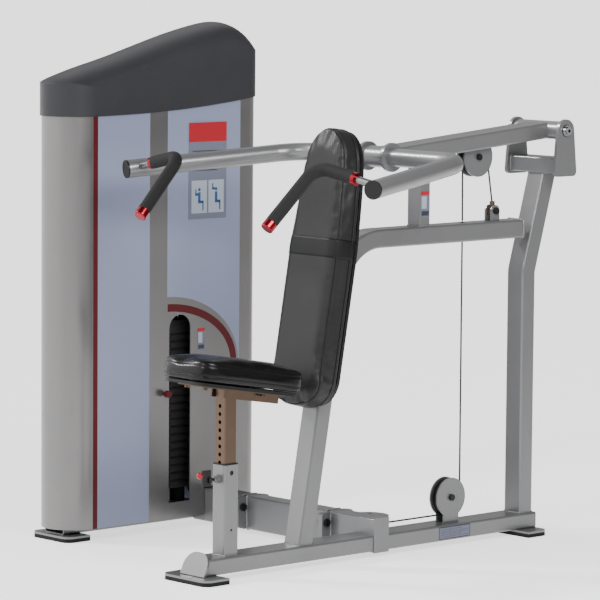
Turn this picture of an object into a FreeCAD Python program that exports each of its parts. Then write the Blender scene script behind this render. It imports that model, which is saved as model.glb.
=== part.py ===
import FreeCAD, Part
import math
import os

"""Shoulder press machine with a selector weight stack in a side tower.

Millimetres, +Z up. The seated user looks along -Y and the tower stands on the -X side.
The origin is on the floor, under the middle of the front foot of the user's rail.
"""

os.makedirs("parts", exist_ok=True)
V = FreeCAD.Vector
AX, AY, AZ = V(1, 0, 0), V(0, 1, 0), V(0, 0, 1)

# ---------------------------------------------------------------- overall sizes
FOOT_DEPTH = 100.0         # front to back of every foot
RAIL_LENGTH = 1556.0       # front foot's edge to the rail's rear end
RAIL_WIDTH = 102.0
RAIL_HEIGHT = 54.0
RAIL_Z = 20.0              # underside of the rail
WALL = 4.0                 # wall of the frame tubes
TUBE_W = 76.0              # frame tube across X
TUBE_D = 62.0              # frame tube in the side view
TUBE_R = 7.0               # outer corner radius of frame tubes
TOWER_HEIGHT = 1746.0
TOWER_GAP = 800.0          # rail centre to the tower's near face
TOWER_DEPTH = 220.0        # tower across X
FIT = 0.05                 # radial running clearance
GAP = 0.5                  # plain clearance between touching-looking pieces

# ---------------------------------------------------------------- feet
PLATE_T = 7.0
RUBBER_T = 13.0
FOOT_W = 220.0
FOOT_R = 32.0

# ---------------------------------------------------------------- cross beam
BEAM_Y = 819.0             # centre line of the cross beam
BEAM_W = 68.0
BEAM_Z0 = 15.0
BEAM_Z1 = 131.0
FLANGE_X = (-168.0, -590.0)
FLANGE_T = 10.0
FLANGE_EAR = 38.0          # how far a flange stands out beyond the beam
BOLT_R = 8.0

# ---------------------------------------------------------------- seat
SEAT_Y = 176.0             # centre of the seat post
POST_W = 60.0
POST_TOP = 366.0
INNER_W = 50.0
SEAT_LEAN = 9.3            # degrees, rear edge lower
SEAT_Z = 621.0             # underside of the pad over the post
SEAT_L = 420.0
SEAT_WF = 238.0
SEAT_WR = 290.0
SEAT_T = 78.0
SEAT_FRONT = -200.0        # pad's front edge from the post, along the pad
SEAT_DOWN = 0.13
SEAT_UP = 0.052
PIN_Z = 321.0
PIN_R = 5.0
PIN_IN = 0.010             # metres the pull pin springs in, into a hole of the inner post
PIN_OUT = 0.004            # metres it can be drawn further out
HOLE_PITCH = 26.0

# ---------------------------------------------------------------- back frame
BACK_Y = 495.0             # centre of the back tube at the rail
BACK_LEAN = 10.0
TOP_Z = 1057.0             # centre of the horizontal top tube
TOP_BEND = 180.0
UPRIGHT_Y = RAIL_LENGTH - 33.0
UPRIGHT_KNEE = 909.0
HEAD_Y = UPRIGHT_Y + 87.0   # pivot
HEAD_Z = 1391.0
HEAD_BASE = 1245.0         # underside of the head's cross tube
PLATE_X = 108.0            # inner face of the pivot plates
PLATE_H = 12.0
AXLE_R = 15.0

# ---------------------------------------------------------------- backrest
PAD_T = 80.0
BOARD_T = 12.0
PAD_HW = 131.0
PAD_LOW = 512.0            # height of the pad's lower edge
PAD_LEN = 922.0
BAND_W = 62.0

# ---------------------------------------------------------------- press arm
ARM_DROP = 4.9             # degrees below level at rest
ARM_LEN = 769.0            # pivot to yoke centre
ARM_W = 102.0
ARM_H = 54.0
YOKE_R = 30.0
YOKE_HALF = 387.0
YOKE_SPLAY = 18.9
YOKE_REACH = 591.0
YOKE_BEND = 130.0
GRIP_R = 21.0
BAR_R = 12.5
ARM_TRAVEL = 30.0          # degrees

# ---------------------------------------------------------------- pulleys and cable
CABLE_R = 3.0
PULLEY_R = 58.0            # cable centre line on the two big pulleys
SMALL_R = 40.0             # cable centre line on the tower's lower turning pulley
TURN_R = 56.0              # cable centre line on the pulley at the beam's end
PULLEY_T = 24.0
SIDE_R = 67.0              # side discs of the big pulleys
SIDE_T = 5.0
ARM_PULLEY = (HEAD_Y - 321.0, HEAD_Z - 83.0)
LOW_PULLEY = (ARM_PULLEY[0] - 111.0, 159.0)
PULLEY_BOLT_R = 6.0
CABLE_RUN_Z = LOW_PULLEY[1] - PULLEY_R

# ---------------------------------------------------------------- tower
TX = -(TOWER_GAP + TOWER_DEPTH / 2.0)          # tower's centre plane
TN = -TOWER_GAP                                # near face
T_NOSE = 175.0
T_STRIP = 284.0
T_PANEL = 303.0
T_SILVER = 531.0
T_ARCH = 610.0
T_COLUMN = 940.0
T_REAR = 1025.0
SKIN = 4.0
SKIRT_Z = 40.0
STACK_Y = 668.0
STACK_W = 240.0
STACK_D = 110.0
STACK_Z = 134.0
LAYER = 26.0
LAYER_GAP = 1.0
LOWER_COUNT = 15
UPPER_COUNT = 5
ROD_R = 12.5
ROD_HALF = 85.0
SLOT_W = 96.0
SLOT_TOP = 746.0
TOP_PULLEY_R = 70.0
TOP_PULLEY_Z = TOWER_HEIGHT - 186.0
STACK_TRAVEL = 343.0
COLUMN_W = 50.0
TOP_BEAM_Z = TOP_PULLEY_Z - 120.0
COVER_LOW = TOWER_HEIGHT - 308.0         # lower edge of the top cover at the nose
COVER_LIFT = 52.0          # how much higher the same edge is at the rear


# ================================================================= helpers
def box(x0, x1, y0, y1, z0, z1):
    """Return a box between two corners."""
    return Part.makeBox(x1 - x0, y1 - y0, z1 - z0, V(x0, y0, z0))


def rod(x, y, z, r, h, axis):
    """Return a cylinder starting at a point and running along an axis."""
    return Part.makeCylinder(r, h, V(x, y, z), axis)


def fuse(shapes):
    """Fuse a list of shapes into one clean shape."""
    out = shapes[0]
    if len(shapes) > 1:
        out = out.multiFuse(shapes[1:])
    return out.removeSplitter()


NODES = {}


def keep(name, *shapes):
    """Add the solids of some shapes to a named node."""
    for shape in shapes:
        NODES.setdefault(name, []).extend(shape.Solids)


def export_all():
    """Move every node to the object's origin and write one STEP file for each."""
    for name, solids in NODES.items():
        shape = solids[0] if len(solids) == 1 else Part.makeCompound(solids)
        shape = shape.copy()
        shape.translate(V(0, -FOOT_DEPTH / 2.0, 0))
        shape.exportStep("parts/" + name + ".step")


def round_rect(w, d, r):
    """Return a rounded rectangle wire in the XY plane centred on zero."""
    a, b = w / 2.0, d / 2.0
    k = r * (1 - math.sqrt(0.5))
    edges = []
    corners = [(1, 1), (-1, 1), (-1, -1), (1, -1)]
    points = []
    for sx, sy in corners:
        p0 = V(sx * a, sy * (b - r), 0)
        pm = V(sx * (a - k), sy * (b - k), 0)
        p1 = V(sx * (a - r), sy * b, 0)
        if sx * sy < 0:
            p0, p1 = p1, p0
        points.append((p0, pm, p1))
    for i in range(4):
        p0, pm, p1 = points[i]
        edges.append(Part.Arc(p0, pm, p1).toShape())
        edges.append(Part.makeLine(p1, points[(i + 1) % 4][0]))
    return Part.Wire(edges)


def prism(w, d, r, z0, z1, x=0.0, y=0.0):
    """Return an upright rounded-rectangle prism centred on (x, y)."""
    solid = Part.Face(round_rect(w, d, r)).extrude(V(0, 0, z1 - z0))
    solid.translate(V(x, y, z0))
    return solid


def side_prism(points, x0, x1):
    """Return a prism with the given (y, z) outline between two X planes."""
    pts = [V(x0, y, z) for y, z in points]
    return Part.Face(Part.makePolygon(pts + [pts[0]])).extrude(V(x1 - x0, 0, 0))


def bent_line(points, radii):
    """Return a wire through the points with an arc of the given radius at each inner point."""
    edges = []
    start = points[0]
    for i in range(1, len(points) - 1):
        p, q, n = points[i], points[i - 1], points[i + 1]
        u = (q - p).normalize()
        w = (n - p).normalize()
        half = math.acos(max(-1.0, min(1.0, u.dot(w)))) / 2.0
        cut = radii[i - 1] / math.tan(half)
        a = p + u * cut
        b = p + w * cut
        mid_dir = (u + w).normalize()
        centre = p + mid_dir * (radii[i - 1] / math.sin(half))
        m = centre - mid_dir * radii[i - 1]
        if (a - start).Length > 1e-6:
            edges.append(Part.makeLine(start, a))
        edges.append(Part.Arc(a, m, b).toShape())
        start = b
    edges.append(Part.makeLine(start, points[-1]))
    return Part.Wire(edges)


def sweep_round(path, r):
    """Return a round bar along a wire."""
    e = path.Edges[0]
    start = e.valueAt(e.FirstParameter)
    direction = e.tangentAt(e.FirstParameter)
    profile = Part.Wire([Part.makeCircle(r, start, direction)])
    return path.makePipeShell([profile], True, True)


def sweep_side(path, w, d, r):
    """Return a rounded rectangular bar along a wire that lies in a YZ plane."""
    e = path.Edges[0]
    start = e.valueAt(e.FirstParameter)
    direction = e.tangentAt(e.FirstParameter)
    profile = round_rect(w, d, r)
    profile.rotate(V(0, 0, 0), AX, math.degrees(math.atan2(-direction.y, direction.z)))
    profile.translate(start)
    maker = Part.BRepOffsetAPI.MakePipeShell(path)
    maker.setBiNormalMode(AX)
    maker.add(profile)
    maker.build()
    maker.makeSolid()
    return maker.shape()


def side_tube(points, radii, w=TUBE_W, d=TUBE_D, wall=WALL):
    """Return a hollow frame tube that bends in the side view; points are (y, z)."""
    path = bent_line([V(0, y, z) for y, z in points], radii)
    outer = sweep_side(path, w, d, TUBE_R)
    inner = sweep_side(path, w - 2 * wall, d - 2 * wall, TUBE_R - wall + 0.5)
    return outer.cut(inner)


def pulley(centre, axis, r_cable, thick, bore):
    """Return a grooved pulley whose groove seats the cable at r_cable."""
    rim = r_cable + CABLE_R + 3.0
    half = thick / 2.0
    seat = CABLE_R + 0.6
    hub = bore + 9.0
    web = r_cable - 12.0
    low = [(r_cable, -seat), (rim, -seat), (rim, -half), (web, -half), (web, 3 - half),
           (hub, 3 - half), (hub, -half), (bore, -half)]
    high = [(r, -h) for r, h in reversed(low)]
    line = Part.makePolygon([V(r, 0, h) for r, h in low + high])
    groove = Part.Arc(V(r_cable, 0, seat), V(r_cable - seat, 0, 0), V(r_cable, 0, -seat)).toShape()
    face = Part.Face(Part.Wire(line.Edges + [groove]))
    wheel = face.revolve(V(0, 0, 0), AZ, 360)
    wheel.Placement = FreeCAD.Placement(centre, FreeCAD.Rotation(AZ, axis))
    return wheel


def bolt(head, axis, r, length, head_r, head_h, hexagon=False):
    """Return a bolt: the head stands on the point against the axis, the shank runs along it."""
    shank = Part.makeCylinder(r, length, head, axis)
    if hexagon:
        pts = [V(head_r * math.cos(math.radians(a)), head_r * math.sin(math.radians(a)), 0)
               for a in range(0, 360, 60)]
        top = Part.Face(Part.makePolygon(pts + [pts[0]])).extrude(V(0, 0, head_h))
        top.Placement = FreeCAD.Placement(head - axis * head_h, FreeCAD.Rotation(AZ, axis))
    else:
        top = Part.makeCylinder(head_r, head_h, head - axis * head_h, axis)
    return fuse([top, shank])


def mirror_x(shape):
    """Return the shape mirrored in the plane X = 0."""
    return shape.mirror(V(0, 0, 0), AX)


def lean(shape, y, z, degrees):
    """Turn a shape about an X axis through (y, z); positive leans the top to the rear."""
    out = shape.copy()
    out.rotate(V(0, y, z), AX, -degrees)
    return out


# ================================================================= feet
def foot_outline(cx, y0, w, front_round, rear_round):
    """Return the plan outline of a foot with rounded ends as a face at z = 0."""
    r = FOOT_R
    slab = prism(w, FOOT_DEPTH, r, 0, 1, cx, y0 + FOOT_DEPTH / 2.0)
    pieces = [slab]
    if not front_round:
        pieces.append(box(cx - w / 2, cx + w / 2, y0, y0 + FOOT_DEPTH / 2, 0, 1))
    if not rear_round:
        pieces.append(box(cx - w / 2, cx + w / 2, y0 + FOOT_DEPTH / 2, y0 + FOOT_DEPTH, 0, 1))
    return fuse(pieces)


def foot(cx, y0, w, front_round, rear_round):
    """Return (rubber, plate) of one foot standing on the floor."""
    base = foot_outline(cx, y0, w, front_round, rear_round)
    faces = [f for f in base.Faces if abs(f.BoundBox.ZMax) < 1e-6]
    rubber = faces[0].extrude(V(0, 0, RUBBER_T))
    plate = faces[0].extrude(V(0, 0, PLATE_T))
    plate.translate(V(0, 0, RUBBER_T))
    return rubber, plate


REAR_FOOT_Y = RAIL_LENGTH - FOOT_DEPTH + 8.0
TOWER_FOOT_W = 200.0
TOWER_FRONT_FOOT_Y = T_NOSE + 6.0
TOWER_REAR_FOOT_Y = T_REAR - FOOT_DEPTH + 4.0
feet = [foot(0, 0, FOOT_W, True, False),
        foot(0, REAR_FOOT_Y, FOOT_W, False, True),
        foot(TX, TOWER_FRONT_FOOT_Y, TOWER_FOOT_W, True, False),
        foot(TX, TOWER_REAR_FOOT_Y, TOWER_FOOT_W, False, True)]
keep("rubber_feet", *[f[0] for f in feet])
keep("foot_plates", *[f[1] for f in feet])

# ================================================================= base rail and cross beam
RAIL_TOP = RAIL_Z + RAIL_HEIGHT
BEAM_Y0 = BEAM_Y - BEAM_W / 2.0
BEAM_Y1 = BEAM_Y + BEAM_W / 2.0
END_LEAN = 24.0            # lean of the rail's rounded end plate
END_T = 8.0
END_Y = 36.0               # foot of the end plate
RAIL_HALF = RAIL_WIDTH / 2.0


def rail_piece(y0, y1):
    """Return a length of the hollow base rail."""
    outer = prism(RAIL_WIDTH, RAIL_HEIGHT, TUBE_R, 0, y1 - y0)
    inner = prism(RAIL_WIDTH - 2 * WALL, RAIL_HEIGHT - 2 * WALL, TUBE_R - WALL + 0.5, 0, y1 - y0)
    tube = outer.cut(inner)
    tube.rotate(V(0, 0, 0), AX, -90)
    tube.translate(V(0, y0, RAIL_Z + RAIL_HEIGHT / 2.0))
    return tube


end_plate_h = RAIL_HEIGHT + 24.0
end_plate = box(-58, 58, 0, END_T, 0, end_plate_h - 40)
end_plate = fuse([end_plate, side_prism([(0, end_plate_h - 40), (END_T, end_plate_h - 40),
                                        (END_T, end_plate_h), (0, end_plate_h)], -58, 58)])
end_round = prism(116, 2 * end_plate_h, 50, 0, END_T)
end_round.rotate(V(0, 0, 0), AX, 90)
end_round.translate(V(0, END_T, 0))
end_plate = end_plate.common(end_round)
end_plate = lean(end_plate, 0, 0, END_LEAN)
end_plate.translate(V(0, END_Y, RAIL_Z + 2.0))
end_plate = end_plate.cut(box(-80, 80, -50, 200, 0, RAIL_Z))
cutter = side_prism([(END_Y + END_T / math.cos(math.radians(END_LEAN)) - 60 * math.tan(math.radians(END_LEAN)),
                      RAIL_Z + 2 - 60),
                     (END_Y + END_T / math.cos(math.radians(END_LEAN)) + 120 * math.tan(math.radians(END_LEAN)),
                      RAIL_Z + 2 + 120),
                     (-200, RAIL_Z + 2 + 120), (-200, RAIL_Z + 2 - 60)], -100, 100)
rail_front = rail_piece(END_Y - 20, BEAM_Y0).cut(cutter)
rail_rear = rail_piece(BEAM_Y1, RAIL_LENGTH)
keep("base_rail", rail_front)
keep("base_rail", rail_rear)
keep("base_rail", end_plate)

cap_plug = prism(RAIL_WIDTH - 2 * WALL - 1, RAIL_HEIGHT - 2 * WALL - 1, 3, 0, 14)
cap_face = prism(RAIL_WIDTH, RAIL_HEIGHT, TUBE_R, 14, 17)
rail_cap = fuse([cap_plug, cap_face])
rail_cap.rotate(V(0, 0, 0), AX, -90)
rail_cap.translate(V(0, RAIL_LENGTH - 14, RAIL_Z + RAIL_HEIGHT / 2.0))
keep("rail_rear_cap", rail_cap)

BEAM_X0 = RAIL_HALF                     # the beam's capped end, flush with the rail's side
BEAM_X1 = TX + 50.0                     # the side of the tower's base tube
RUN_Y = STACK_Y + 2 * TOP_PULLEY_R      # cable's run inside the beam
TURN = (-TURN_R, RUN_Y + TURN_R)      # vertical axle of the pulley at the beam's end
UP_PULLEY = (TX + SMALL_R, CABLE_RUN_Z + SMALL_R)


def beam_piece(x0, x1):
    """Return a length of the hollow cross beam between two X planes, x0 > x1."""
    height = BEAM_Z1 - BEAM_Z0
    outer = prism(height, BEAM_W, TUBE_R, 0, x0 - x1)
    inner = prism(height - 2 * WALL, BEAM_W - 2 * WALL, TUBE_R - WALL + 0.5, 0, x0 - x1)
    tube = outer.cut(inner)
    tube.rotate(V(0, 0, 0), AY, 90)
    tube.translate(V(x1, BEAM_Y, (BEAM_Z0 + BEAM_Z1) / 2.0))
    return tube


def flange(x):
    """Return one flange plate whose +X face lies on the given plane."""
    w = BEAM_W + 2 * FLANGE_EAR
    plate = prism(BEAM_Z1 - BEAM_Z0 - 8, w, 14, 0, FLANGE_T)
    plate.rotate(V(0, 0, 0), AY, 90)
    plate.translate(V(x - FLANGE_T, BEAM_Y, (BEAM_Z0 + BEAM_Z1) / 2.0 + 1))
    hollow = box(x - FLANGE_T - 1, x + 1, BEAM_Y0 + WALL, BEAM_Y1 - WALL, BEAM_Z0 + WALL, BEAM_Z1 - WALL)
    plate = plate.cut(hollow)
    for y, z in bolt_spots():
        plate = plate.cut(rod(x - FLANGE_T - 1, y, z, BOLT_R + 0.5, FLANGE_T + 2, AX))
    return plate


def bolt_spots():
    """Return the (y, z) centres of a flange's bolts."""
    ys = (BEAM_Y0 - FLANGE_EAR / 2.0, BEAM_Y1 + FLANGE_EAR / 2.0)
    return [(y, BEAM_Z0 + 0.68 * (BEAM_Z1 - BEAM_Z0)) for y in ys]


f1, f2 = FLANGE_X
stub_end = f1 + FLANGE_T
beam_stub = fuse([beam_piece(BEAM_X0, stub_end), flange(stub_end)])
slot_low = CABLE_RUN_Z - 17.0
slot_high = CABLE_RUN_Z + 17.0
beam_stub = beam_stub.cut(box(-2 * TURN_R - 10, 8, BEAM_Y1 - WALL - 1, BEAM_Y1 + 1, slot_low, slot_high))
beam_cap = box(BEAM_X0 - GAP, BEAM_X0 + 3, BEAM_Y0 - 0, BEAM_Y1, BEAM_Z0, BEAM_Z1)
beam_stub = beam_stub.cut(box(BEAM_X0 - GAP, BEAM_X0 + 5, BEAM_Y0 - 1, BEAM_Y1 + 1, BEAM_Z0 - 1,
                              BEAM_Z1 + 1))
keep("beam_stub", beam_stub)
keep("beam_stub", beam_cap)
mid_beam = fuse([flange(f1), beam_piece(f1 - FLANGE_T, f2 + FLANGE_T), flange(f2 + FLANGE_T)])
keep("cross_beam", mid_beam)
tower_beam = fuse([flange(f2), beam_piece(f2 - FLANGE_T, BEAM_X1)])
pulley_slot = box(BEAM_X1 - 1, BEAM_X1 + 60, RUN_Y - 15, RUN_Y + 15, BEAM_Z1 - WALL - 8, BEAM_Z1 + 1)
tower_beam = tower_beam.cut(pulley_slot)
keep("tower_beam", tower_beam)

flange_bolts = []
for fx in FLANGE_X:
    for by, bz in bolt_spots():
        near = bolt(V(fx + FLANGE_T, by, bz), V(-1, 0, 0), BOLT_R, 2 * FLANGE_T + 12, 14, 9, True)
        nut = bolt(V(fx - FLANGE_T, by, bz), AX, BOLT_R - 0.5, 1, 13, 10, True)
        flange_bolts.append(fuse([near, nut]))
keep("frame_bolts", *flange_bolts)

guard_x0, guard_x1 = -2 * TURN_R - 12.0, 11.0
guard = []
for gz in (slot_low - 4, slot_high):
    leaf = box(guard_x0, guard_x1, BEAM_Y1, max(TURN[1] + 4, BEAM_Y1 + 6), gz, gz + 4)
    tip = rod(TURN[0], TURN[1], gz, TURN_R + 12, 4, AZ)
    leaf = fuse([leaf, tip.cut(box(-200, 200, 0, BEAM_Y1, 0, 300))])
    leaf = leaf.cut(rod(TURN[0], TURN[1], gz - 1, PULLEY_BOLT_R + 0.3, 6, AZ))
    guard.append(leaf)
keep("beam_stub", *guard)
axle_low = slot_low - 4
keep("frame_bolts", fuse([rod(TURN[0], TURN[1], axle_low - 1, PULLEY_BOLT_R, slot_high - axle_low + 6, AZ),
                                 rod(TURN[0], TURN[1], slot_high + 4, 9.5, 6, AZ)]))
keep("beam_pulley", pulley(V(TURN[0], TURN[1], CABLE_RUN_Z), AZ, TURN_R, 20, PULLEY_BOLT_R + FIT))

# ================================================================= seat post and seat
post_outer = prism(POST_W, POST_W, 6, RAIL_TOP, POST_TOP, 0, SEAT_Y)
post_inner = prism(POST_W - 6, POST_W - 6, 3.5, RAIL_TOP - 1, POST_TOP + 1, 0, SEAT_Y)
post = post_outer.cut(post_inner)
post = post.cut(rod(0, SEAT_Y - 60, PIN_Z, 7, 60, AY))
post = post.cut(rod(0, SEAT_Y, POST_TOP - 26, 8, 60, AX))
post = post.cut(rod(0, SEAT_Y, 156, 4, 60, AX))
keep("seat_post", post)

bush = fuse([prism(POST_W, POST_W, 6, POST_TOP + 0.2, POST_TOP + 4.2, 0, SEAT_Y),
             prism(POST_W - 6.6, POST_W - 6.6, 3.2, POST_TOP - 26, POST_TOP + 1, 0, SEAT_Y)])
bush = bush.cut(prism(INNER_W + 0.8, INNER_W + 0.8, 4.4, POST_TOP - 40, POST_TOP + 9, 0, SEAT_Y))
bush = bush.cut(rod(0, SEAT_Y - 60, PIN_Z, 8, 60, AY))
keep("seat_post_bush", bush)

post_face = SEAT_Y - POST_W / 2.0
barrel = fuse([rod(0, post_face, PIN_Z, 14, 13, V(0, -1, 0)), rod(0, post_face - 13, PIN_Z, 10, 9,
                                                                  V(0, -1, 0))])
barrel = barrel.cut(rod(0, post_face + 1, PIN_Z, PIN_R + FIT, 30, V(0, -1, 0)))
keep("pull_pin_barrel", barrel)

pin_tip = SEAT_Y - INNER_W / 2.0 - 0.6
lever_y = post_face - 24.0 - PIN_IN * 1000
pin_len = pin_tip - (lever_y - 6)
keep("pull_pin", rod(0, lever_y - 6, PIN_Z, PIN_R, pin_len, AY))
lever = box(-3.5, 3.5, lever_y - 34, lever_y, PIN_Z - 21, PIN_Z + 32)
lever_block = box(-9, 9, lever_y - 12, lever_y, PIN_Z - 9, PIN_Z + 9)
lever = fuse([lever, lever_block]).cut(rod(0, lever_y - 6, PIN_Z, PIN_R, 20, AY))
keep("pull_pin", lever)
ball = Part.makeSphere(10.5, V(0, lever_y - 45.5, PIN_Z + 17))
neck = rod(0, lever_y - 36, PIN_Z + 17, 4, 2, AY)
keep("pull_pin_ball", fuse([ball, neck]))

inner_top = SEAT_Z
inner_low = RAIL_TOP + SEAT_DOWN * 1000 + 8
inner = prism(INNER_W, INNER_W, 4.5, inner_low, inner_top, 0, SEAT_Y)
inner = inner.cut(prism(INNER_W - 6, INNER_W - 6, 2.0, inner_low - 1, inner_top + 1, 0, SEAT_Y))
hole_count = 12
for i in range(-6, hole_count - 2):
    hz = PIN_Z + i * HOLE_PITCH
    if inner_low + 14 < hz < inner_top - 40:
        inner = inner.cut(rod(0, SEAT_Y - 60, hz, PIN_R + 1.6, 60, AY))
slant = side_prism([(0, SEAT_Z + (SEAT_Y - 0) * math.tan(math.radians(SEAT_LEAN)) - 15.4),
                    (500, SEAT_Z + (SEAT_Y - 500) * math.tan(math.radians(SEAT_LEAN)) - 15.4),
                    (500, 900), (0, 900)], -60, 60)
inner = inner.cut(slant)
keep("seat_inner_post", inner)


def seat_frame(shape):
    """Place a shape drawn level: z = 0 is the pad's underside, y = 0 the post, rear edge lower."""
    out = shape.copy()
    out.translate(V(0, SEAT_Y, SEAT_Z))
    out.rotate(V(0, SEAT_Y, SEAT_Z), AX, -SEAT_LEAN)
    return out


BOARD_S = 10.0
seat_plate = box(-60, 60, -150, 205, -BOARD_S - 5, -BOARD_S)
ribs = []
for sx in (-1, 1):
    xa = sx * (INNER_W / 2.0 + 0.5)
    xb = sx * (INNER_W / 2.0 + 6.5)
    ribs.append(box(min(xa, xb), max(xa, xb), -32, 205, -BOARD_S - 32, -BOARD_S - 4))
ribs.append(box(-31, 31, 34, 40, -BOARD_S - 32, -BOARD_S - 4))
ribs.append(box(-31, 31, 199, 205, -BOARD_S - 32, -BOARD_S - 4))
carriage = fuse([seat_plate] + ribs)
carriage = seat_frame(carriage)
keep("seat_carriage", carriage)


def seat_outline(grow=0.0):
    """Return the seat pad's plan outline as a face at z = 0."""
    a = SEAT_WF / 2.0 + grow
    b = SEAT_WR / 2.0 + grow
    y0 = SEAT_FRONT - grow
    y1 = SEAT_FRONT + SEAT_L + grow
    pts = [V(-a, y0, 0), V(a, y0, 0), V(b, y1 - 90, 0), V(b, y1, 0), V(-b, y1, 0), V(-b, y1 - 90, 0)]
    face = Part.Face(Part.makePolygon(pts + [pts[0]]))
    solid = face.extrude(V(0, 0, 1))
    uprights = [e for e in solid.Edges if abs(e.Vertexes[0].Z - e.Vertexes[1].Z) > 0.5]
    front = [e for e in uprights if e.Vertexes[0].Y < y0 + 1]
    rear = [e for e in uprights if e.Vertexes[0].Y > y1 - 1]
    solid = solid.makeFillet(62, front)
    rear = [e for e in solid.Edges if abs(e.Vertexes[0].Z - e.Vertexes[-1].Z) > 0.5 and e.Vertexes[0].Y > y1 - 1]
    solid = solid.makeFillet(38, rear)
    return [f for f in solid.Faces if f.BoundBox.ZMax < 1e-6][0]


board = seat_outline(-10).extrude(V(0, 0, BOARD_S))
board.translate(V(0, 0, -BOARD_S))
keep("seat_board", seat_frame(board))
pad = seat_outline().extrude(V(0, 0, SEAT_T))
rim = [e for e in pad.Edges if abs(e.BoundBox.ZMin - SEAT_T) < 1e-4 and abs(e.BoundBox.ZMax - SEAT_T) < 1e-4]
pad = pad.makeFillet(20, rim)
keep("seat_pad", seat_frame(pad))
seat_bolts = []
for bx in (-44, 44):
    for by in (-125, 122):
        seat_bolts.append(seat_frame(bolt(V(bx, by, -BOARD_S - 5), AZ, 3, 4, 8, 8, True)))
keep("seat_carriage", *seat_bolts)

# ================================================================= back frame
back_top_y = BACK_Y + (TOP_Z - RAIL_TOP) * math.tan(math.radians(BACK_LEAN))
upright_front = UPRIGHT_Y - TUBE_D / 2.0
start_y = BACK_Y - 40 * math.tan(math.radians(BACK_LEAN))
back_tube = side_tube([(start_y, RAIL_TOP - 40), (back_top_y, TOP_Z), (upright_front, TOP_Z)], [TOP_BEND])
back_tube = back_tube.cut(box(-200, 200, 0, 3000, -100, RAIL_TOP))
CABLE_FRONT_Y = ARM_PULLEY[0] - PULLEY_R
CABLE_LOW_Y = LOW_PULLEY[0] + PULLEY_R
hole_y = (CABLE_FRONT_Y + CABLE_LOW_Y) / 2.0
back_tube = back_tube.cut(rod(0, hole_y, TOP_Z - 60, 11, 120, AZ))
keep("back_tube", back_tube)

head_lean = math.atan2(HEAD_Y + 8 - UPRIGHT_Y, HEAD_BASE - UPRIGHT_KNEE)
top_y = UPRIGHT_Y + (HEAD_BASE + 60 - UPRIGHT_KNEE) * math.tan(head_lean)
upright = side_tube([(UPRIGHT_Y, RAIL_TOP), (UPRIGHT_Y, UPRIGHT_KNEE), (top_y, HEAD_BASE + 60)], [70.0])
upright = upright.cut(box(-200, 200, 1000, 2000, HEAD_BASE, HEAD_BASE + 300))
keep("rear_upright", upright)

STOP_Y = HEAD_Y - 583.0
arm_angle = math.radians(ARM_DROP)
stop_under = HEAD_Z - (HEAD_Y - STOP_Y) * math.tan(arm_angle) - ARM_H / 2.0 / math.cos(arm_angle)
tube_top = TOP_Z + TUBE_D / 2.0
BUMPER_T = 14.0
stop_post = prism(60, 50, 6, tube_top, stop_under - BUMPER_T, 0, STOP_Y)
stop_post = stop_post.cut(prism(60 - 2 * WALL, 50 - 2 * WALL, 3, tube_top - 1, stop_under - BUMPER_T - 5,
                                0, STOP_Y))
slab = side_prism([(STOP_Y - 40, stop_under - 40 * math.tan(arm_angle) - BUMPER_T),
                   (STOP_Y + 40, stop_under + 40 * math.tan(arm_angle) - BUMPER_T),
                   (STOP_Y + 40, stop_under + 60), (STOP_Y - 40, stop_under + 60)], -60, 60)
keep("stop_post", stop_post.cut(slab))
bumper = prism(52, 42, 8, stop_under - BUMPER_T - 10, stop_under + 20, 0, STOP_Y).common(slab)
bumper_top = side_prism([(STOP_Y - 40, stop_under - 40 * math.tan(arm_angle) - GAP),
                         (STOP_Y + 40, stop_under + 40 * math.tan(arm_angle) - GAP),
                         (STOP_Y + 40, stop_under + 80), (STOP_Y - 40, stop_under + 80)], -60, 60)
keep("rubber_bumpers", bumper.cut(bumper_top))

HEAD_CROSS_H = 54.0
head_mid = HEAD_Y + 6.0
cross = prism(HEAD_CROSS_H, 84, TUBE_R, 0, 2 * PLATE_X)
cross = cross.cut(prism(HEAD_CROSS_H - 2 * WALL, 84 - 2 * WALL, 3.5, -1, 2 * PLATE_X + 1))
cross.rotate(V(0, 0, 0), AY, 90)
cross.translate(V(-PLATE_X, head_mid, HEAD_BASE + HEAD_CROSS_H / 2.0))
keep("pivot_head", cross)


def head_plate(x0):
    """Return one round-topped pivot plate whose inner face starts at x0."""
    top_r = 39.0
    low_z = HEAD_BASE - 10.0
    half = 54.5
    lift = HEAD_Z - low_z
    rim = Part.makeCylinder(top_r, PLATE_H, V(x0, HEAD_Y, HEAD_Z), AX)
    phi = math.atan2(half - top_r, lift)
    cy = top_r * math.cos(phi)
    cz = top_r * math.sin(phi)
    pts = [(HEAD_Y - half, low_z), (HEAD_Y + half, low_z), (HEAD_Y + cy, HEAD_Z + cz),
           (HEAD_Y - cy, HEAD_Z + cz)]
    body = side_prism(pts, x0, x0 + PLATE_H)
    low = [e for e in body.Edges if abs(e.Vertexes[0].X - e.Vertexes[-1].X) > 1 and e.Vertexes[0].Z < low_z + 1]
    body = body.makeFillet(16, low)
    return fuse([body, rim]).cut(rod(x0 - 1, HEAD_Y, HEAD_Z, AXLE_R, PLATE_H + 2, AX))


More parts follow.
